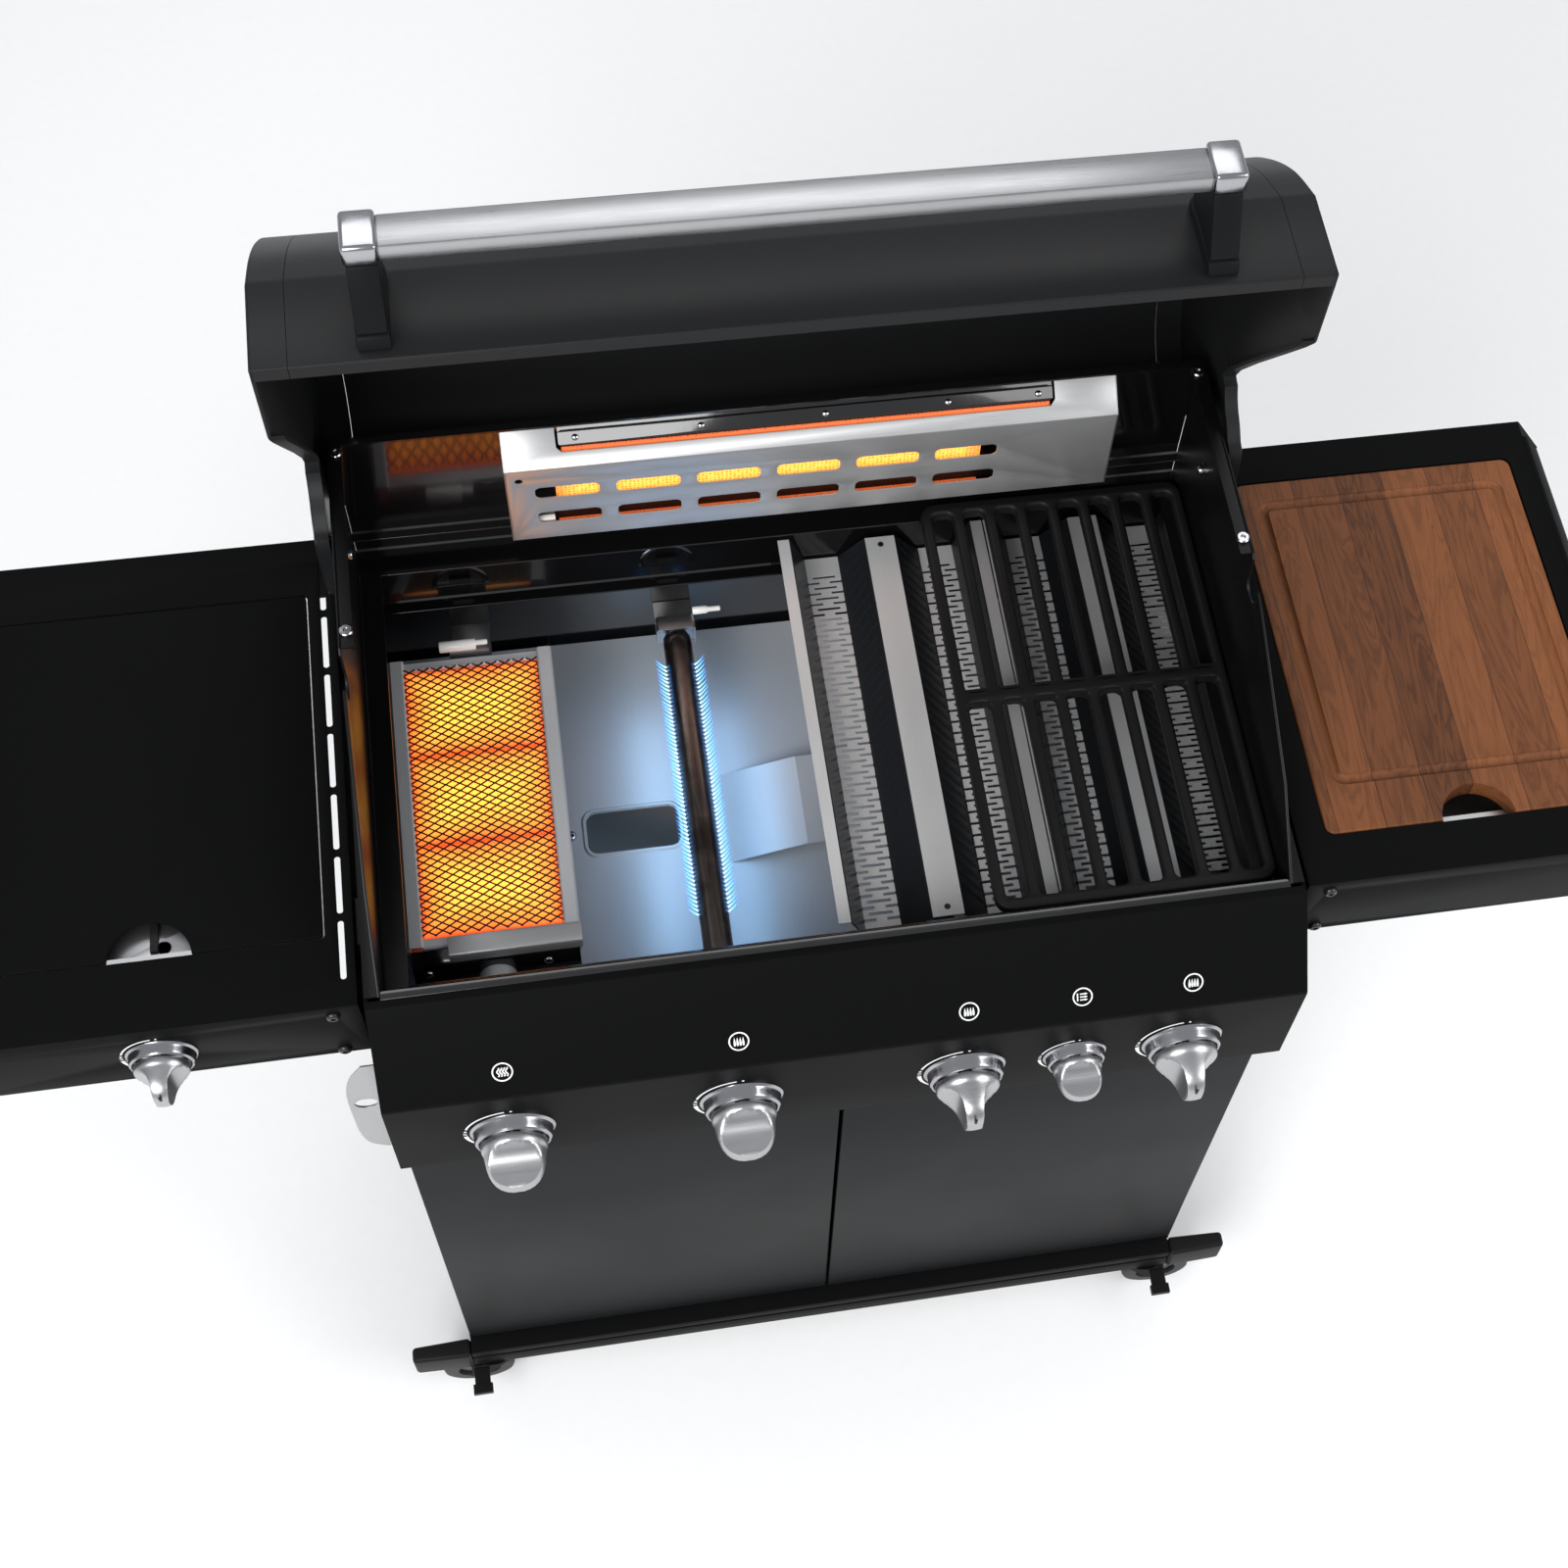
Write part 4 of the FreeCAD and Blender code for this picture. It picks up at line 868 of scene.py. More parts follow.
def setting_arcs():
    """The printed high-to-low mark round each knob: dot, arc, dot, ticks and a wedge."""
    bm = shape()
    for name, spot in KNOBS.items():
        size = KNOB_SCALE.get(name, 1)

        def place(u, v, lift, spot=spot):
            return (spot.x + u, spot.y - lift - 0.3, spot.z + v)

        radius = 37.5 * size
        dot(bm, *arc((0, 0), radius, 88, 88, 1)[0], 1.1 * size, place)
        stroke(bm, arc((0, 0), radius, 96, 164, 20), 1.7 * size, place)
        dot(bm, *arc((0, 0), radius, 171, 171, 1)[0], 1.3 * size, place)
        for turn in (177, 181):
            ends = [arc((0, 0), radius + gap * size, turn, turn, 1)[0] for gap in (-1.6, 1.6)]
            stroke(bm, ends, 0.7 * size, place)
        wedge = arc((0, 0), radius, 186, 226, 12)
        stroke(bm, wedge, [size * (3.6 - 3.0 * k / 12) for k in range(13)], place)
    piece("setting_arcs", bm, "white_print")


def panel_symbols():
    """A ring with a plain sign in it over each panel knob."""
    crest, bend = Vector((0, -10.6, RIM_TOP - 0.9)), Vector((0, PANEL_FACE + 1.8, PANEL_BEND + 3.4))
    slope = (crest - bend).normalized()
    normal = Vector((0, -slope.z, slope.y))
    bm = shape()
    for name, spot in KNOBS.items():
        if spot.y != PANEL_FACE:
            continue
        origin = Vector((spot.x, 0, 0)) + bend + slope * 20

        def place(u, v, lift, origin=origin):
            return origin + Vector((u, 0, 0)) + slope * v + normal * (lift + 0.02)

        stroke(bm, arc((0, 0), 7.6, 0, 360, 36), 1.1, place)
        if name == "knob_infrared":
            for u in (-3.3, -1.1, 1.1, 3.3):
                wave = [(u + 0.9 * math.sin(k * 0.85), -3.8 + k * 0.76) for k in range(11)]
                stroke(bm, wave, 1.0, place)
        elif name == "knob_back_burner":
            stroke(bm, [(-4.2, 3.4), (-4.2, -3.4)], 1.0, place)
            for v in (-2.6, 0, 2.6):
                stroke(bm, [(-2.2, v), (1.6, v), (1.8, v)], 0.9, place)
                stroke(bm, [(1.6, v), (4.0, v)], [1.9, 0.2], place)
        else:
            for u in (-3.4, -1.15, 1.15, 3.4):
                stroke(bm, [(u, -3.8), (u, -1.6), (u, 0.6), (u, 3.4)], [1.2, 1.7, 1.2, 0.15],
                       place)
    piece("panel_symbols", bm, "white_print")


# ------------------------------------------------------------------------ cooking box
BOX_HALF, RIM_HALF, WALL, BOX_DEEP, BOX_FLOOR, BACK_TOP = 356.6, 369.0, 2.5, 428.0, -230.0, 134.0
TUBE_LEVEL, HINGE_Y, HINGE_Z = -112.0, 362.0, 70.0
GRATE_SHELF, TAMER_SHELF = -23.0, -82.3


def bay_middle(bay):
    """The middle of a burner bay, counted from the left; the bare pipe sits a little off."""
    return PITCH * (bay - 1.5) - (3 if bay == 1 else 0)


def firebox_sides():
    """The side walls that rise to the back, with rims, ledges and bolt heads."""
    notch = arc((217, 108), 11.5, 180, 360, 16)
    outline = [(0, BOX_FLOOR), (0, RIM_TOP), (63, 61), (171, 108), (201, 120), (205, 121)]
    outline += notch + [(229, 132), (233, 136), (324, 136), (BOX_DEEP, BACK_TOP),
                        (BOX_DEEP, BOX_FLOOR)]
    for name, side in SIDES:
        bm = shape()
        ends = sorted((side * BOX_HALF, side * (BOX_HALF + WALL)))
        sheet_metal(bm, "x", ends[0], ends[1], outline, (), 0.9)
        rim = [(side * (BOX_HALF + 1), RIM_TOP), (side * (RIM_HALF - 2), RIM_TOP),
               (side * RIM_HALF, RIM_TOP - 1), (side * RIM_HALF, RIM_TOP - 9)]
        ribbon(bm, rim, 2 * side, "y", 0.5, BOX_DEEP)
        for rise, reach in ((-23, 17), (-82, 10)):
            shelf = [(side * (BOX_HALF + 1), rise + 3), (side * (BOX_HALF - 1), rise),
                     (side * (BOX_HALF - reach), rise), (side * (BOX_HALF - reach), rise - 4)]
            ribbon(bm, shelf, 2 * side, "y", 3, 400)
        top = [(side * (BOX_HALF + WALL), 134.8), (side * (BOX_HALF - 9), 134.8),
               (side * (BOX_HALF - 9), 131)]
        ribbon(bm, top, -1.6 * side, "y", 234, BOX_DEEP - 1)
        lathe(bm, [(5, -1), (5, 11)], (side * (BOX_HALF + WALL), HINGE_Y, HINGE_Z),
              "x" if side > 0 else "-x", 24)
        piece("firebox_wall_" + name, bm, "side_enamel",
              stands_for="firebox_side_" + name)
    bm = shape()
    for _, side in SIDES:
        axis = "-x" if side > 0 else "x"
        lathe(bm, [(6.5, 0), (6.5, 1), (4.5, 1.6), (4.5, 5), (3.8, 6), (0.02, 6.2)],
              (side * (BOX_HALF + 0.2), HINGE_Y, HINGE_Z), axis, 24)
        for y, level in ((248, 134.8), (415, BACK_TOP)):
            lathe(bm, [(5.2, 0), (5.2, 2.6), (4.4, 3.4), (2.2, 3.4), (2.0, 1.6), (0.02, 1.6)],
                  (side * (BOX_HALF - 4.5), y, level), "z", 24)
    piece("hinge_bolt_heads", bm, "bezel_chrome")


def firebox_front():
    """The front wall with its rolled rim and the two shelves behind it."""
    bm = shape()
    outline = [(-BOX_HALF, BOX_FLOOR), (BOX_HALF, BOX_FLOOR), (BOX_HALF, RIM_TOP - 3),
               (-BOX_HALF, RIM_TOP - 3)]
    holes = [arc((bay_middle(bay), TUBE_LEVEL), 15.5 if bay == 0 else 13, 0, 345, 23)
             for bay in range(4)]
    sheet_metal(bm, "y", 0, WALL, outline, holes, 0.4)
    lip = [(-3.2, RIM_TOP - 4.5), (-3.2, RIM_TOP - 1)] + arc((-1.6, RIM_TOP - 1.6), 1.6, 150, 90, 3)
    lip += [(4.0, RIM_TOP)] + arc((4.0, RIM_TOP - 2), 2, 80, 0, 4) + [(6.0, -4)]
    ribbon(bm, lip, 1.4, "x", -BOX_HALF, BOX_HALF)
    for level, reach in ((GRATE_SHELF, 22.0), (TAMER_SHELF, 43.5)):
        shelf = [(WALL, level + 2), (WALL + 2, level), (reach - 2.5, level)]
        shelf += arc((reach - 2.5, level - 2.5), 2.5, 80, 0, 4) + [(reach, level - 7)]
        ribbon(bm, shelf, 2, "x", -BOX_HALF, BOX_HALF)
    piece("firebox_front", bm, "black_enamel",
          stands_for="firebox_front_wall")


def firebox_back():
    """The stepped back wall, its ledges and the two hooded air vents."""
    bm = shape()
    face = BOX_DEEP
    line = [(face - 7, BACK_TOP)] + arc((face - 2.4, BACK_TOP - 2.4), 2.4, 90, 0, 4)
    line += [(face, -42)] + arc((face - 12, -45), 12, 0, -27, 4) + [(410.5, -83)]
    line += arc((416, -86), 6, 150, 180, 3) + [(410, BOX_FLOOR)]
    ribbon(bm, line, -WALL, "x", -BOX_HALF, BOX_HALF)
    for level, front, back in ((GRATE_SHELF, 400.0, BOX_DEEP), (TAMER_SHELF, 399.0, 411.0),
                               (4.0, 419.0, BOX_DEEP)):
        shelf = [(back, level + 1.5), (back - 1.5, level), (front + 1, level)]
        shelf += arc((front + 1, level - 1), 1, 100, 180, 4)
        ribbon(bm, shelf, -0.9, "x", -BOX_HALF, BOX_HALF)
    piece("firebox_back", bm, "black_enamel",
          stands_for="firebox_back_wall")
    bm = shape()
    slope = Vector((0, 18, 35)).normalized()
    normal = Vector((0, -35, 18)).normalized()
    for middle in (-275.0, -96.0):
        origin = Vector((middle, 417.5, -71))
        rings = []
        for lift, size in ((-1, 1.0), (0.6, 1.0), (1.4, 0.94), (1.4, 0.78), (-0.4, 0.72),
                           (-1.2, 0.5)):
            half = arc((0, 0), 25 * size, 0, 180, 16)
            base = [(-25 * size, -4 * size), (25 * size, -4 * size)]
            rings.append([origin + Vector((u, 0, 0)) + slope * v * 0.72 + normal * lift
                          for u, v in base + half])
        skin(bm, rings)
        block(bm, (middle - 9, 414, -69.5), (middle + 9, 417, -61))
    piece("air_vents", bm, "black_enamel")


def grease_baffle():
    """The raised lip round the baffle's window, and the two screws beside it."""
    top = -170.0
    left, right, front, back = -191.0, -111.0, 189.0, 229.0
    bm = shape()
    rings = []
    for grow, radius, lift in ((4, 12, 0.05), (2.4, 11, 1.6), (0.6, 9.4, 1.6), (0, 9, -1.6)):
        line = rounded_box((left - grow, front - grow), (right + grow, back + grow), radius)
        rings.append([(u, v, top + lift) for u, v in line])
    skin(bm, rings, caps=False)
    piece("baffle_window_lip", bm, "sheet_steel")
    bm = shape()
    for x in (left - 14, right + 13):
        screw(bm, (x, (front + back) / 2, top), "z", 5, 3, False)
    piece("baffle_screws", bm, "bezel_chrome")


# ------------------------------------------------------------------------ burners
def infrared_burner():
    """The steel frame, its front plates, three glowing tiles and the mesh."""
    left, right, front, back, top = -342.0, -204.0, 79.0, 349.0, -80.0
    bar = 12.5
    bm = shape()
    for x in (left, right - bar):
        line = [(x, -124), (x, top - 1.5), (x + 1.5, top), (x + bar - 1.5, top),
                (x + bar, top - 1.5), (x + bar, -92)]
        ribbon(bm, line, 1.4, "y", front, back)
    for y in (front, back - 9):
        line = [(y, -124), (y, top - 5), (y + 1.5, top - 3.5), (y + 7.5, top - 3.5),
                (y + 9, top - 5), (y + 9, -92)]
        ribbon(bm, line, 1.4, "x", left + bar - 1, right - bar + 1)
    block(bm, (left + 1.5, front + 1.5, -125), (right - 1.5, back - 1.5, -100))
    lathe(bm, [(15, 0), (15, 70), (13.5, 74)], (bay_middle(0), 5.5, TUBE_LEVEL), "y", 40)
    piece("infrared_frame", bm, "sheet_steel",
          stands_for="infrared_burner_frame")
    bm = shape()
    shield = [(front - 13, -88), (front - 11, -82), (front - 8, -80), (front + 2, -79.2),
              (front + 6, -79.2)]
    ribbon(bm, smooth(shield, 5), 1.2, "x", left + 32, right + 1)
    piece("infrared_shield", bm, "shell_steel", edge=0.3)
    bm = shape()
    ribbon(bm, [(front - 2, -84), (front - 14, -90), (front - 20, -122)], -1.4, "x", left + 2,
           right - 2)
    piece("infrared_front_plate", bm, "black_enamel", edge=0.4)
    bm = shape()
    for x in (left + 14, right - 28):
        screw(bm, (x, front - 16, -98), "-y", 4, 2.6, False)
    piece("infrared_screws", bm, "bezel_chrome")
    tile_long, gap = 81.0, 3.0
    bm = shape()
    for row in range(3):
        y = front + 10 + row * (tile_long + gap)
        hot_tile(bm, "z", (left + 13.5, y), (right - 13.5, y + tile_long), -91.6, -84.4, 38)
    piece("glowing_tiles", bm, "glowing_ceramic",
          stands_for="infrared_ceramic_tiles")
    piece("expanded_mesh", diamond_mesh((left + bar, front + 9), (right - bar, back - 9), -81.6),
          "mesh_wire", stands_for="infrared_mesh")


def hot_tile(bm, axis, low, high, back, face, deepest, coolest=0.0):
    """A ceramic tile in nested outlines, with the warmth attribute rising to the middle."""
    heat = bm.verts.layers.float.get("warmth") or bm.verts.layers.float.new("warmth")
    steps = [(0, back, 0), (0, face - (face - back) * 0.1, 0)]
    steps += [(deepest * t, face, t ** 0.7) for t in (0.03, 0.15, 0.3, 0.5, 0.75, 1.0)]
    rings = []
    for inset, level, _ in steps:
        (u0, v0), (u1, v1) = (low[0] + inset, low[1] + inset), (high[0] - inset, high[1] - inset)
        rings.append([spread(axis, u, v, level)
                      for u, v in ((u0, v0), (u1, v0), (u1, v1), (u0, v1))])
    for (_, _, warmth), ring in zip(steps, skin(bm, rings)):
        for vertex in ring:
            vertex[heat] = max(coolest, warmth)


def diamond_mesh(low, high, level, wide=11.5, tall=7.0, wire_wide=1.15, wire_deep=0.9):
    """Expanded steel: two families of thin strips, clipped to a rectangle."""
    bm = shape()
    (x0, y0), (x1, y1) = low, high
    slope = tall / wide
    reach = (x1 - x0) * slope
    for sign in (1, -1):
        for k in range(int((y1 - y0 + reach) / tall) + 1):
            ya = y0 - (reach if sign > 0 else 0) + k * tall
            yb = ya + sign * reach
            first, last = 0.0, 1.0
            for limit, direction in ((y0, 1), (y1, -1)):
                a, b = (ya - limit) * direction, (yb - limit) * direction
                if a < 0 and b < 0:
                    first = 2
                elif a < 0:
                    first = max(first, a / (a - b))
                elif b < 0:
                    last = min(last, a / (a - b))
            if last - first < 0.02:
                continue
            start, end = (Vector((x0 + (x1 - x0) * t, ya + (yb - ya) * t, level))
                          for t in (first, last))
            ahead = (end - start).normalized()
            out = Vector((-ahead.y, ahead.x, 0)) * wire_wide / 2
            deep = Vector((0, 0, wire_deep * (1 if sign > 0 else 0.9)))
            skin(bm, [[p - out, p + out, p + out + deep, p - out + deep] for p in (start, end)])
    return bm


PIPE_BAYS, PORTS, PORT_PITCH, PORT_SIDE = (1, 2, 3), 62, 4.0, 12.2


def tube_burners():
    """Pipes with a closed end, rows of gas ports, yokes at the back and their igniters."""
    bm = shape()
    for bay in PIPE_BAYS:
        x = bay_middle(bay)
        lathe(bm, [(10, 4.2), (14, 4), (14, 8), (13.2, 14), (12.5, 30), (12.5, 356), (12.0, 362),
                   (9.5, 366.5), (5, 368), (0.02, 368)], (x, 0, TUBE_LEVEL), "y", 40)
    piece("burner_pipes", bm, "dark_steel", stands_for="tube_burners")
    bm = shape()
    for bay in PIPE_BAYS:
        x = bay_middle(bay)
        for side in (-1, 1):
            for k in range(PORTS):
                y = 90 + k * PORT_PITCH
                lathe(bm, [(0.9, 0), (0.7, 0.5)], (x + side * PORT_SIDE, y, TUBE_LEVEL - 1.5),
                      "x" if side > 0 else "-x", 6)
    piece("burner_ports", bm, "black_screw")
    bm = shape()
    for bay in PIPE_BAYS:
        x = bay_middle(bay)
        yoke = [(x - 17, -124), (x - 17, -97), (x - 15, -95), (x + 15, -95), (x + 17, -97),
                (x + 17, -124)]
        ribbon(bm, yoke, 2, "y", 362, 376)
        block(bm, (x - 17, 368.5, -126), (x + 17, 409.5, -124))
        block(bm, (x - 17, 368.5, -124), (x + 17, 370.5, -96))
    block(bm, (-290, 352, -130), (-256, 410, -128))
    block(bm, (-290, 352, -128), (-256, 354, -80))
    piece("burner_yokes", bm, "steel_upright",
          stands_for="burner_brackets", edge=0.4)
    bm = shape()
    for bay in PIPE_BAYS:
        x = bay_middle(bay)
        lathe(bm, [(3.0, 8), (3.6, 9), (3.6, 20), (2.4, 22), (2.4, 32), (1, 33)],
              (x + 8, 378, -94), "x", 20)
    lathe(bm, [(4.4, 0), (5.0, 1), (5.0, 30), (4.4, 31)], (-298, 358, -79), "x", 24)
    lathe(bm, [(2.4, 31), (2.4, 40), (2.0, 41)], (-298, 358, -77), "x", 20)
    piece("ceramic_electrodes", bm, "white_ceramic", stands_for="igniters")


def flames():
    """Two rows of small gas flames along the bare pipe."""
    bm = shape()
    reach = bm.verts.layers.float.new("reach")
    x, level = bay_middle(1), TUBE_LEVEL + 1
    pitch, steps = 3.95, 5
    for side in (-1, 1):
        for k in range(PORTS):
            y = 92 + k * pitch
            sway = 0.6 * math.sin(k * 1.7)
            rings = []
            for step in range(steps + 1):
                t = step / steps
                wide = (0.6 + 1.5 * t) * (1 - t) ** 0.7 + 0.1
                here = Vector((x + side * (PORT_SIDE + 9.5 * t), y + 4.5 * t + sway * t,
                               level + 8.5 * t * t))
                rings.append([here + Vector((0, wide * 0.75 * math.cos(a), wide * math.sin(a)))
                              for a in (math.tau * q / 6 for q in range(6))])
            made = skin(bm, rings)
            for step, ring in enumerate(made):
                for vertex in ring:
                    vertex[reach] = step / steps * 0.75
    piece("blue_flames", bm, "flame_blue", shade=180)


def back_burner():
    """A slotted housing with glowing ceramic behind its two rows of slots."""
    left, right, face, foot, bend, back = -224.0, 285.0, 400.0, 10.0, 107.0, 426.0
    bm = shape()
    slots = []
    slot_start, slot_pitch, slot_long, slot_tall = -201.0, 66.5, 52.5, 15.0
    for level in (67.0, 32.0):
        for column in range(6):
            x = slot_start + slot_pitch * column
            slots.append(rounded_box((x, level), (x + slot_long, level + slot_tall), 5))
    slots.append(arc((-213, 93), 3.2, 0, 345, 23))
    sheet_metal(bm, "y", face, face + 1.5, [(left, foot), (right, foot), (right, bend + 0.4),
                                            (left, bend + 0.4)], slots, 0.5)
    slope = Vector((0, back - face, 24)).normalized()
    normal = Vector((0, -slope.z, slope.y))

    def on_slope(u, v, w):
        return Vector((u, face, bend)) + slope * v + normal * w

    deep = 35.2
    cut = [(left, 0), (right, 0), (right, deep), (232, deep), (232, 18), (228, 13), (-176, 13),
           (-180, 17), (-180, deep), (left, deep)]
    sheet_metal(bm, on_slope, -1.5, 0, cut, (), 0.45)
    for x in (left, right - 1.5):
        end = [(face, foot), (face, bend), (back, bend + 24), (back, foot)]
        sheet_metal(bm, "x", x, x + 1.5, end, (), 0.45)
    ribbon(bm, [(face + 1, foot), (face + 14, foot)], -1.2, "x", left, right)
    piece("back_burner_shell", bm, "shell_steel",
          stands_for="back_burner_housing")
    bm = shape()
    sheet_metal(bm, on_slope, -0.6, 0.8, rounded_box((-178, 18), (230, 30), 2), (), 0.4)
    sheet_metal(bm, on_slope, -6, -3.5, rounded_box((-178, 24), (262, deep), 1), (), 0.4)
    block(bm, (left + 2, face + 9, 24), (right - 2, face + 24, 46))
    block(bm, (left + 2, face + 20, foot + 2), (right - 2, face + 24, bend - 2))
    piece("back_burner_bar", bm, "black_enamel")
    bm = shape()
    for x in (-164, -62, 40, 142, 218):
        origin = on_slope(x, 24, 0.8)
        rings = []
        for radius, lift in ((2.8, 0), (2.6, 0.9), (1.8, 1.5), (0.05, 1.7)):
            rings.append([origin + Vector((radius * math.cos(a), 0, 0))
                          + slope * radius * math.sin(a) + normal * lift
                          for a in (math.tau * q / 16 for q in range(16))])
        skin(bm, rings)
    piece("back_burner_screws", bm, "bezel_chrome")
    bm = shape()
    hot_tile(bm, "y", (-184, 46.5), (172, 92), face + 12, face + 7.5, 20, 0.35)
    piece("rear_ceramic", bm, "glowing_rear",
          stands_for="back_burner_ceramics")
    bm = shape()
    hot_tile(bm, "y", (-184, 12), (172, 21.6), face + 15, face + 7, 4, 0.5)
    hot_tile(bm, on_slope, (-176, 11), (228, 16.5), -6, -4.5, 2, 0.5)
    piece("rear_glow_strip", bm, "glowing_low")
    bm = shape()
    block(bm, (-203, face + 4, 15), (-187, face + 9, 31))
    piece("rear_electrode", bm, "white_ceramic", edge=0.8)


# ------------------------------------------------------------------------ what lies in the box
def cooking_grate():
    """One cast plate with two rows of long holes and ribs beside the middle bar."""
    low, high = deck_box("cooking_grate")
    bars, bar = 8, 9.0
    pitch = (high.x - low.x - bar) / bars
    middle = (low.y + high.y) / 2
    holes = []
    for index in range(bars):
        x = low.x + bar + index * pitch
        for start, end in ((low.y + bar + 2, middle - 5.5), (middle + 5.5, high.y - bar - 2)):
            holes.append(rounded_box((x, start), (x + pitch - bar, end), 6))
    bm = shape()
    outline = rounded_box((low.x, low.y), (high.x, high.y), 14)
    sheet_metal(bm, "z", low.z, high.z, outline, holes, 2.6)
    for index in range(bars):
        x = low.x + bar + index * pitch
        for start in (middle - 7.5, middle + 5.5):
            block(bm, (x + 0.5, start, high.z - 3.2),
                  (x + pitch - bar - 0.5, start + 2.0, high.z))
    piece("cast_grate", bm, "cast_iron", "grate", "cooking_grate", shade=50)


def flame_tamer(name, middle, body):
    """Pressed W section with rows of slots in its valleys and ribs on its slopes."""
    front, long, first_slot, margin, slot, row = 38.0, 371.0, 52.0, 18.0, 2.7, 5.5
    half = [(13.0, -55.0), (36.0, -80.0), (41.5, -80.0), (47.0, -80.0), (56.0, -80.0),
            (61.5, -80.0), (67.0, -80.0), (80.5, -45.0), (90.5, -45.0)]
    left = [(-x, z) for x, z in half[::-1]]
    line = left + half
    edges = [front, first_slot]
    y = first_slot
    while y < front + long - margin:
        edges += [y + slot, y + row]
        y += row
    edges.append(front + long)
    node = "flame_tamer_" + body.replace("_tamer", "")
    slopes, valleys = (1, 7, 9, 15), (range(2, 7), range(10, 15))
    # The tamer is one material: its flats take pale steel as a painted reflection of the light, and
    # its slopes take near-black as painted shade.
    for part, look in (("flats", "tamer_steel"), ("slopes", "tamer_enamel")):
        bm = shape()
        grid = [[bm.verts.new((middle + x, y, z)) for x, z in line] for y in edges]
        for r in range(len(edges) - 1):
            slotted = 1 <= r < len(edges) - 2 and r % 2 == 1
            wide_one = (r // 2) % 2 == 1
            for c in range(len(line) - 1):
                if (c in slopes) == (part == "flats"):
                    continue
                cut = [c - valley.start for valley in valleys if c in valley]
                if slotted and cut and cut[0] in ((1, 2, 3) if wide_one else (0, 1, 3, 4)):
                    continue
                bm.faces.new((grid[r][c], grid[r][c + 1], grid[r + 1][c + 1], grid[r + 1][c]))
        bmesh.ops.delete(bm, geom=[v for v in bm.verts if not v.link_faces], context="VERTS")
        bmesh.ops.recalc_face_normals(bm, faces=bm.faces)
        bmesh.ops.solidify(bm, geom=bm.faces[:], thickness=1.2)
        if part == "slopes":
            tamer_ribs(bm, middle)
        piece(name + "_" + part, bm, look, body, node)
    bm = shape()
    for y in (front + 8, front + long - 8):
        lathe(bm, [(2.6, 0), (2.6, 0.2), (0.02, 0.2)], (middle, y, -53.8), "z", 24)
    piece(name + "_rivets", bm, "black_screw", body)


def tamer_ribs(bm, middle):
    """Slanted ribs pressed into the four slopes."""
    ribs, first, pitch = 32, 56, 11
    for side in (-1, 1):
        for foot, head in (((36, -80), (13, -55)), ((67, -80), (80.5, -45))):
            start = Vector((middle + side * foot[0], 0, foot[1]))
            run = Vector((middle + side * head[0], 0, head[1])) - start
            for k in range(ribs):
                y = first + k * pitch
                a = start + run * 0.04 + Vector((0, y, 1.2))
                b = start + run * 0.82 + Vector((0, y + 12, 1.2))
                out = Vector((0, 0.7, 0))
                up = Vector((0, 0, 0.9))
                skin(bm, [[p - out, p + out, p + out * 0.4 + up, p - out * 0.4 + up]
                          for p in (a, b)])


# ------------------------------------------------------------------------ lid
SHELL_HALF, CAP_HALF, BOSS_SIDE = 347.0, 372.7, 361.5


def lid_profile():
    """The shell seen from the side, from its lip over the top and down behind (y, z)."""
    rear = smooth([(337, 438), (382, 414), (428, 376), (472, 327), (515, 252), (533, 160),
                   (527, 85), (500, 44), (450, 26)], 6)
    return [(265, 425), (265, 435.5)] + arc((266.8, 435.2), 1.8, 170, 95, 4) + rear


def cap_edge():
    """The lower edge of an end cap, from behind the box round to the lip (y, z)."""
    return [(400, 40), (372, 44), (345, 48), (333, 60), (330, 90), (333, 128), (342, 134),
            (352, 143), (366, 152), (376, 165), (377, 184), (279, 338), (267, 361)]


HANDLE_HALF, HANDLE_FRONT, HANDLE_BACK, HANDLE_FOOT, HANDLE_HEAD = 278.5, 299, 327, 494.5, 509


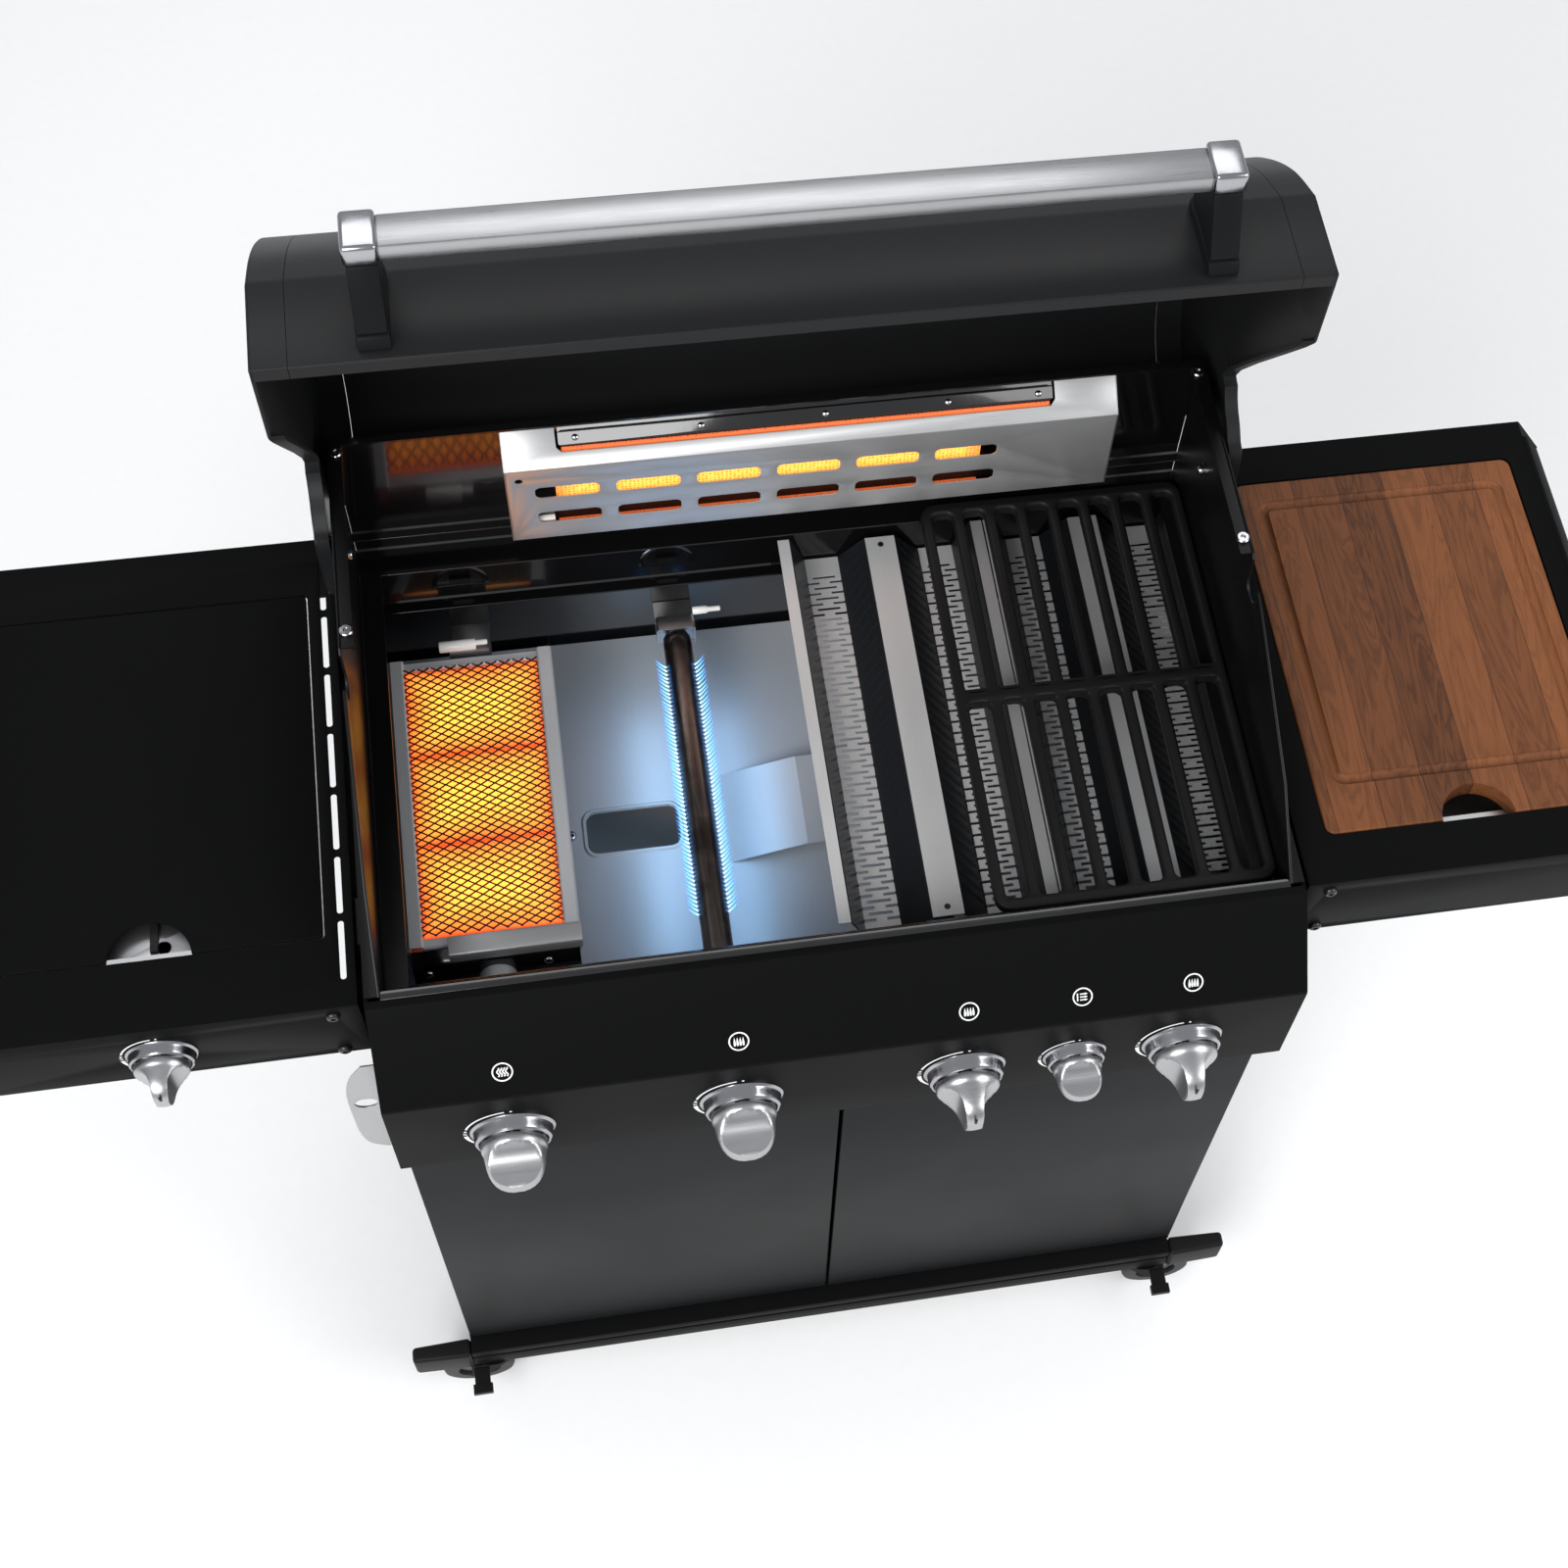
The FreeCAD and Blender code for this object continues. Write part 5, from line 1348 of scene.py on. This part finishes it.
def lid():
    """Bent shell, two cast end caps, and the handle on its two brackets."""
    profile = lid_profile()
    bm = shape()
    ribbon(bm, profile, SHEET, "x", -SHELL_HALF, SHELL_HALF)
    piece("lid_shell_skin", bm, "lid_black", "lid", "lid_shell", shade=50)
    edge = smooth(cap_edge(), 3)
    outline = profile + edge
    for name, side in SIDES:
        bm = shape()
        outer, inner = side * CAP_HALF, side * (CAP_HALF - 3)
        ends = sorted((outer, inner))
        sheet_metal(bm, "x", ends[0], ends[1], outline, (), 1.2)
        band = sorted((side * (SHELL_HALF + 0.4), side * (CAP_HALF - 1.5)))
        ribbon(bm, profile, 3, "x", band[0], band[1])
        hem = sorted((side * BOSS_SIDE, side * (CAP_HALF - 1.5)))
        ribbon(bm, edge, 3, "x", hem[0], hem[1])
        lathe(bm, [(6.2, 0), (14, 0), (14, 9)], (side * BOSS_SIDE, HINGE_Y, HINGE_Z),
              "x" if side > 0 else "-x", 40, caps=False)
        piece("lid_cap_" + name, bm, "lid_black", "lid",
              "lid_end_cap_" + name, shade=45)
    bm = shape()
    block(bm, (-HANDLE_HALF, HANDLE_FRONT, HANDLE_FOOT),
          (HANDLE_HALF, HANDLE_BACK, HANDLE_HEAD))
    piece("handle_rail", bm, "brushed_steel", "lid", "handle_bar", edge=1.4)
    bm = shape()
    for _, side in SIDES:
        ends = sorted((side * 279.5, side * 300.5))
        for low, high, grow in ((438.2, 448, 0.8), (449, 494.6, 0.0)):
            foot = (low - 438) / 59
            head = (high - 438) / 59
            rows = []
            for part, z in ((foot, low), (head, high)):
                y0, y1 = 272 + 25 * part - grow, 337 - 9 * part + grow
                rows.append([(ends[0] - grow, y0, z), (ends[1] + grow, y0, z),
                             (ends[1] + grow, y1, z), (ends[0] - grow, y1, z)])
            skin(bm, rows)
    piece("handle_legs", bm, "door_grey", "lid", "handle_brackets", edge=1.6)
    bm = shape()
    for _, side in SIDES:
        ends = sorted((side * 278.2, side * 302))
        block(bm, (ends[0], HANDLE_FRONT - 3, HANDLE_FOOT - 1),
              (ends[1], HANDLE_BACK + 3, HANDLE_HEAD + 3.5))
    piece("handle_caps", bm, "bezel_chrome", "lid", edge=3.2, steps=3)


def opener():
    """A blade with a bulged edge and a round hole, on its bracket."""
    bm = shape()
    bulge = smooth([(-384, -75), (-396, -98), (-402, -130), (-403, -180), (-402, -215),
                    (-397, -238), (-384, -250)], 4)
    outline = [(-369.6, -75), (-369.6, -250)] + bulge[::-1]
    hook = arc((-389, -150), 9, 0, 345, 23)
    sheet_metal(bm, "y", -20, -18, outline, [hook], 0.7)
    block(bm, (-371.4, -20, -190), (-369.6, 20, -130))
    piece("opener_blade", bm, "steel_upright", stands_for="bottle_opener")


# ------------------------------------------------------------------------ cabinet
def doors():
    """Folded door skins."""
    for name, _ in SIDES:
        low, high = deck_box("door_" + name)
        bm = shape()
        folded = 2.0
        block(bm, (low.x, low.y, low.z), (high.x, low.y + folded, high.z))
        for x in (low.x, high.x - folded):
            block(bm, (x, low.y + folded, low.z), (x + folded, high.y, high.z))
        block(bm, (low.x + folded, low.y + folded, high.z - folded),
              (high.x - folded, high.y, high.z))
        block(bm, (low.x + folded, low.y + folded, low.z),
              (high.x - folded, high.y, low.z + folded))
        piece("door_skin_" + name, bm, "door_grey", name + "_door", "door_" + name,
              edge=0.9)


def base():
    """Two pressed beams and the bumpers on their ends."""
    low, high = deck_box("base_beams")
    bm = shape()
    deep = 55
    for front in (low.y, high.y - deep):
        line = [(front, low.z), (front, low.z + 24), (front + 1.6, low.z + 25),
                (front + 1.6, low.z + 28), (front, low.z + 29), (front, high.z),
                (front + deep, high.z), (front + deep, low.z)]
        prism(bm, line, "x", low.x, high.x)
    piece("beam_pair", bm, "satin_black", stands_for="base_beams", edge=1.2)
    bm = shape()
    low, high = deck_box("corner_bumpers")
    for _, side in SIDES:
        near, outer = side * 370.8, side * high.x
        for front in (low.y, high.y - 20):
            back = front + 20
            plan = [(near, front), (outer, front + 2), (outer, back - 2), (near, back)]
            prism(bm, plan, "z", low.z, high.z)
    piece("bumper_set", bm, "black_plastic", stands_for="corner_bumpers",
          edge=4.0, steps=4)


def casters():
    """A rubber tyre and a grey hub for each wheel."""
    for end in ("front", "rear"):
        for name, _ in SIDES:
            label = end + "_" + name
            low, high = deck_box("caster_wheel_" + label)
            x, z = (low.x + high.x) / 2, (low.z + high.z) / 2
            radius, half = (high.z - low.z) / 2, (high.y - low.y) / 2
            y = (low.y + high.y) / 2
            bm = shape()
            flank = [(21.5, half - 4), (22, half), (radius - 5, half), (radius - 2, half - 1.2),
                     (radius - 0.4, half - 4)]
            profile = [(r, -t) for r, t in flank] + [(radius, 0)] + flank[::-1]
            lathe(bm, profile, (x, y, z), "y", 72, caps=False)
            piece("tyre_" + label, bm, "wheel_rubber", "wheel_" + label,
                  "caster_wheel_" + label)
            bm = shape()
            lathe(bm, [(6.6, -half + 1), (9, -half + 1), (9, -half + 4), (21.6, -half + 5),
                       (21.6, half - 5), (9, half - 4), (9, half - 1), (6.6, half - 1)],
                  (x, y, z), "y", 72, caps=False)
            piece("hub_" + label, bm, "wheel_grey", "wheel_" + label)


# ------------------------------------------------------------------------ looks of the CAD nodes
# The grease tray takes the pale tamer-flat steel as painted light, which lifts the tray lying in
# shade below the baffle's window.
BY_NODE = {"insert_pan": "steel_lengthways", "grease_baffle": "sheet_steel",
           "grease_tray": "tamer_steel"}


def paint_nodes():
    """Each CAD node takes the look named by its material slot, or by BY_NODE."""
    wanted = {part["node"]: part["material_slot"] for part in frame["record"]["subparts"]}
    for node, thing in frame["nodes"].items():
        thing.data.materials.clear()
        thing.data.materials.append(LOOK[BY_NODE.get(node, wanted[node])])


# ------------------------------------------------------------------------ floor, light, camera
def sweep():
    """A pale studio floor."""
    reach = 14.0
    bm = shape()
    bm.faces.new([bm.verts.new((x, y, 0.0)) for x, y in
                  ((-reach, -reach), (reach, -reach), (reach, reach), (-reach, reach))])
    mesh = bpy.data.meshes.new("studio_floor")
    bm.to_mesh(mesh)
    bm.free()
    mesh.materials.append(LOOK["studio_floor"])
    floor = bpy.data.objects.new("studio_floor", mesh)
    bpy.context.scene.collection.objects.link(floor)


def soft_light(name, spot, aim, size, energy, colour=(1, 1, 1)):
    """A rectangular area light that faces its aim."""
    lamp = bpy.data.lights.new(name, "AREA")
    lamp.shape, lamp.size, lamp.size_y, lamp.energy = "RECTANGLE", size[0], size[1], energy
    lamp.color = colour
    made = bpy.data.objects.new(name, lamp)
    made.location = Vector(spot)
    made.rotation_euler = (Vector(aim) - Vector(spot)).to_track_quat("-Z", "Y").to_euler()
    bpy.context.scene.collection.objects.link(made)


def studio():
    """Floor, soft lights, the glow of the open flames and the air around."""
    sweep()
    soft_light("key_softbox", (-1.9, -2.6, 3.4), (0, 0, 0.7), (2.6, 2.2), 145)
    soft_light("fill_softbox", (2.6, -1.4, 2.6), (0, 0, 0.8), (2.2, 2.0), 55)
    soft_light("top_softbox", (0.0, 2.0, 4.0), (0, 0.2, 0.9), (3.4, 1.4), 34)
    for x in (-128, -60):
        spot = on_deck(x, 217, -112)
        soft_light("flame_light", spot, spot - Vector((0, 0, 1)), (0.03, 0.25), 0.06,
                   (0.34, 0.64, 1.0))
    world = bpy.data.worlds.new("studio_air")
    world.use_nodes = True
    back = world.node_tree.nodes["Background"]
    back.inputs["Color"].default_value = (0.9, 0.92, 0.95, 1)
    back.inputs["Strength"].default_value = 0.55
    bpy.context.scene.world = world


def camera():
    """The main view: from above, in front and a little to the left, rolled."""
    elevation, azimuth, roll = (math.radians(a) for a in (60.2377, 16.6410, 8.0933))
    ahead = Vector((math.sin(azimuth) * math.cos(elevation),
                    math.cos(azimuth) * math.cos(elevation), -math.sin(elevation)))
    right = Vector((math.cos(azimuth), -math.sin(azimuth), 0))
    up = right.cross(ahead)
    right, up = (right * math.cos(roll) + up * math.sin(roll),
                 up * math.cos(roll) - right * math.sin(roll))
    lens = bpy.data.cameras.new("main_camera")
    lens.sensor_width, lens.lens, lens.shift_x, lens.shift_y = 36, 57.01, -0.1066, -0.0354
    made = bpy.data.objects.new("main_camera", lens)
    turn = Matrix((right, up, -ahead)).transposed().to_4x4()
    made.matrix_world = Matrix.Translation((-0.17642, -0.99654, 2.70321)) @ turn
    bpy.context.scene.collection.objects.link(made)
    bpy.context.scene.camera = made
    bpy.context.scene.view_settings.view_transform = "Standard"


paint_nodes()
left_table()
side_cover()
right_table()
cutting_board()
table_bolts()
control_panel()
for knob_name in KNOBS:
    knob(knob_name)
knob_bezels()
setting_arcs()
panel_symbols()
firebox_sides()
firebox_front()
firebox_back()
grease_baffle()
infrared_burner()
tube_burners()
flames()
back_burner()
cooking_grate()
flame_tamer("tamer_middle", 0.5 * PITCH, "middle_tamer")
flame_tamer("tamer_right", 1.5 * PITCH, "right_tamer")
lid()
opener()
doors()
base()
casters()
studio()
camera()
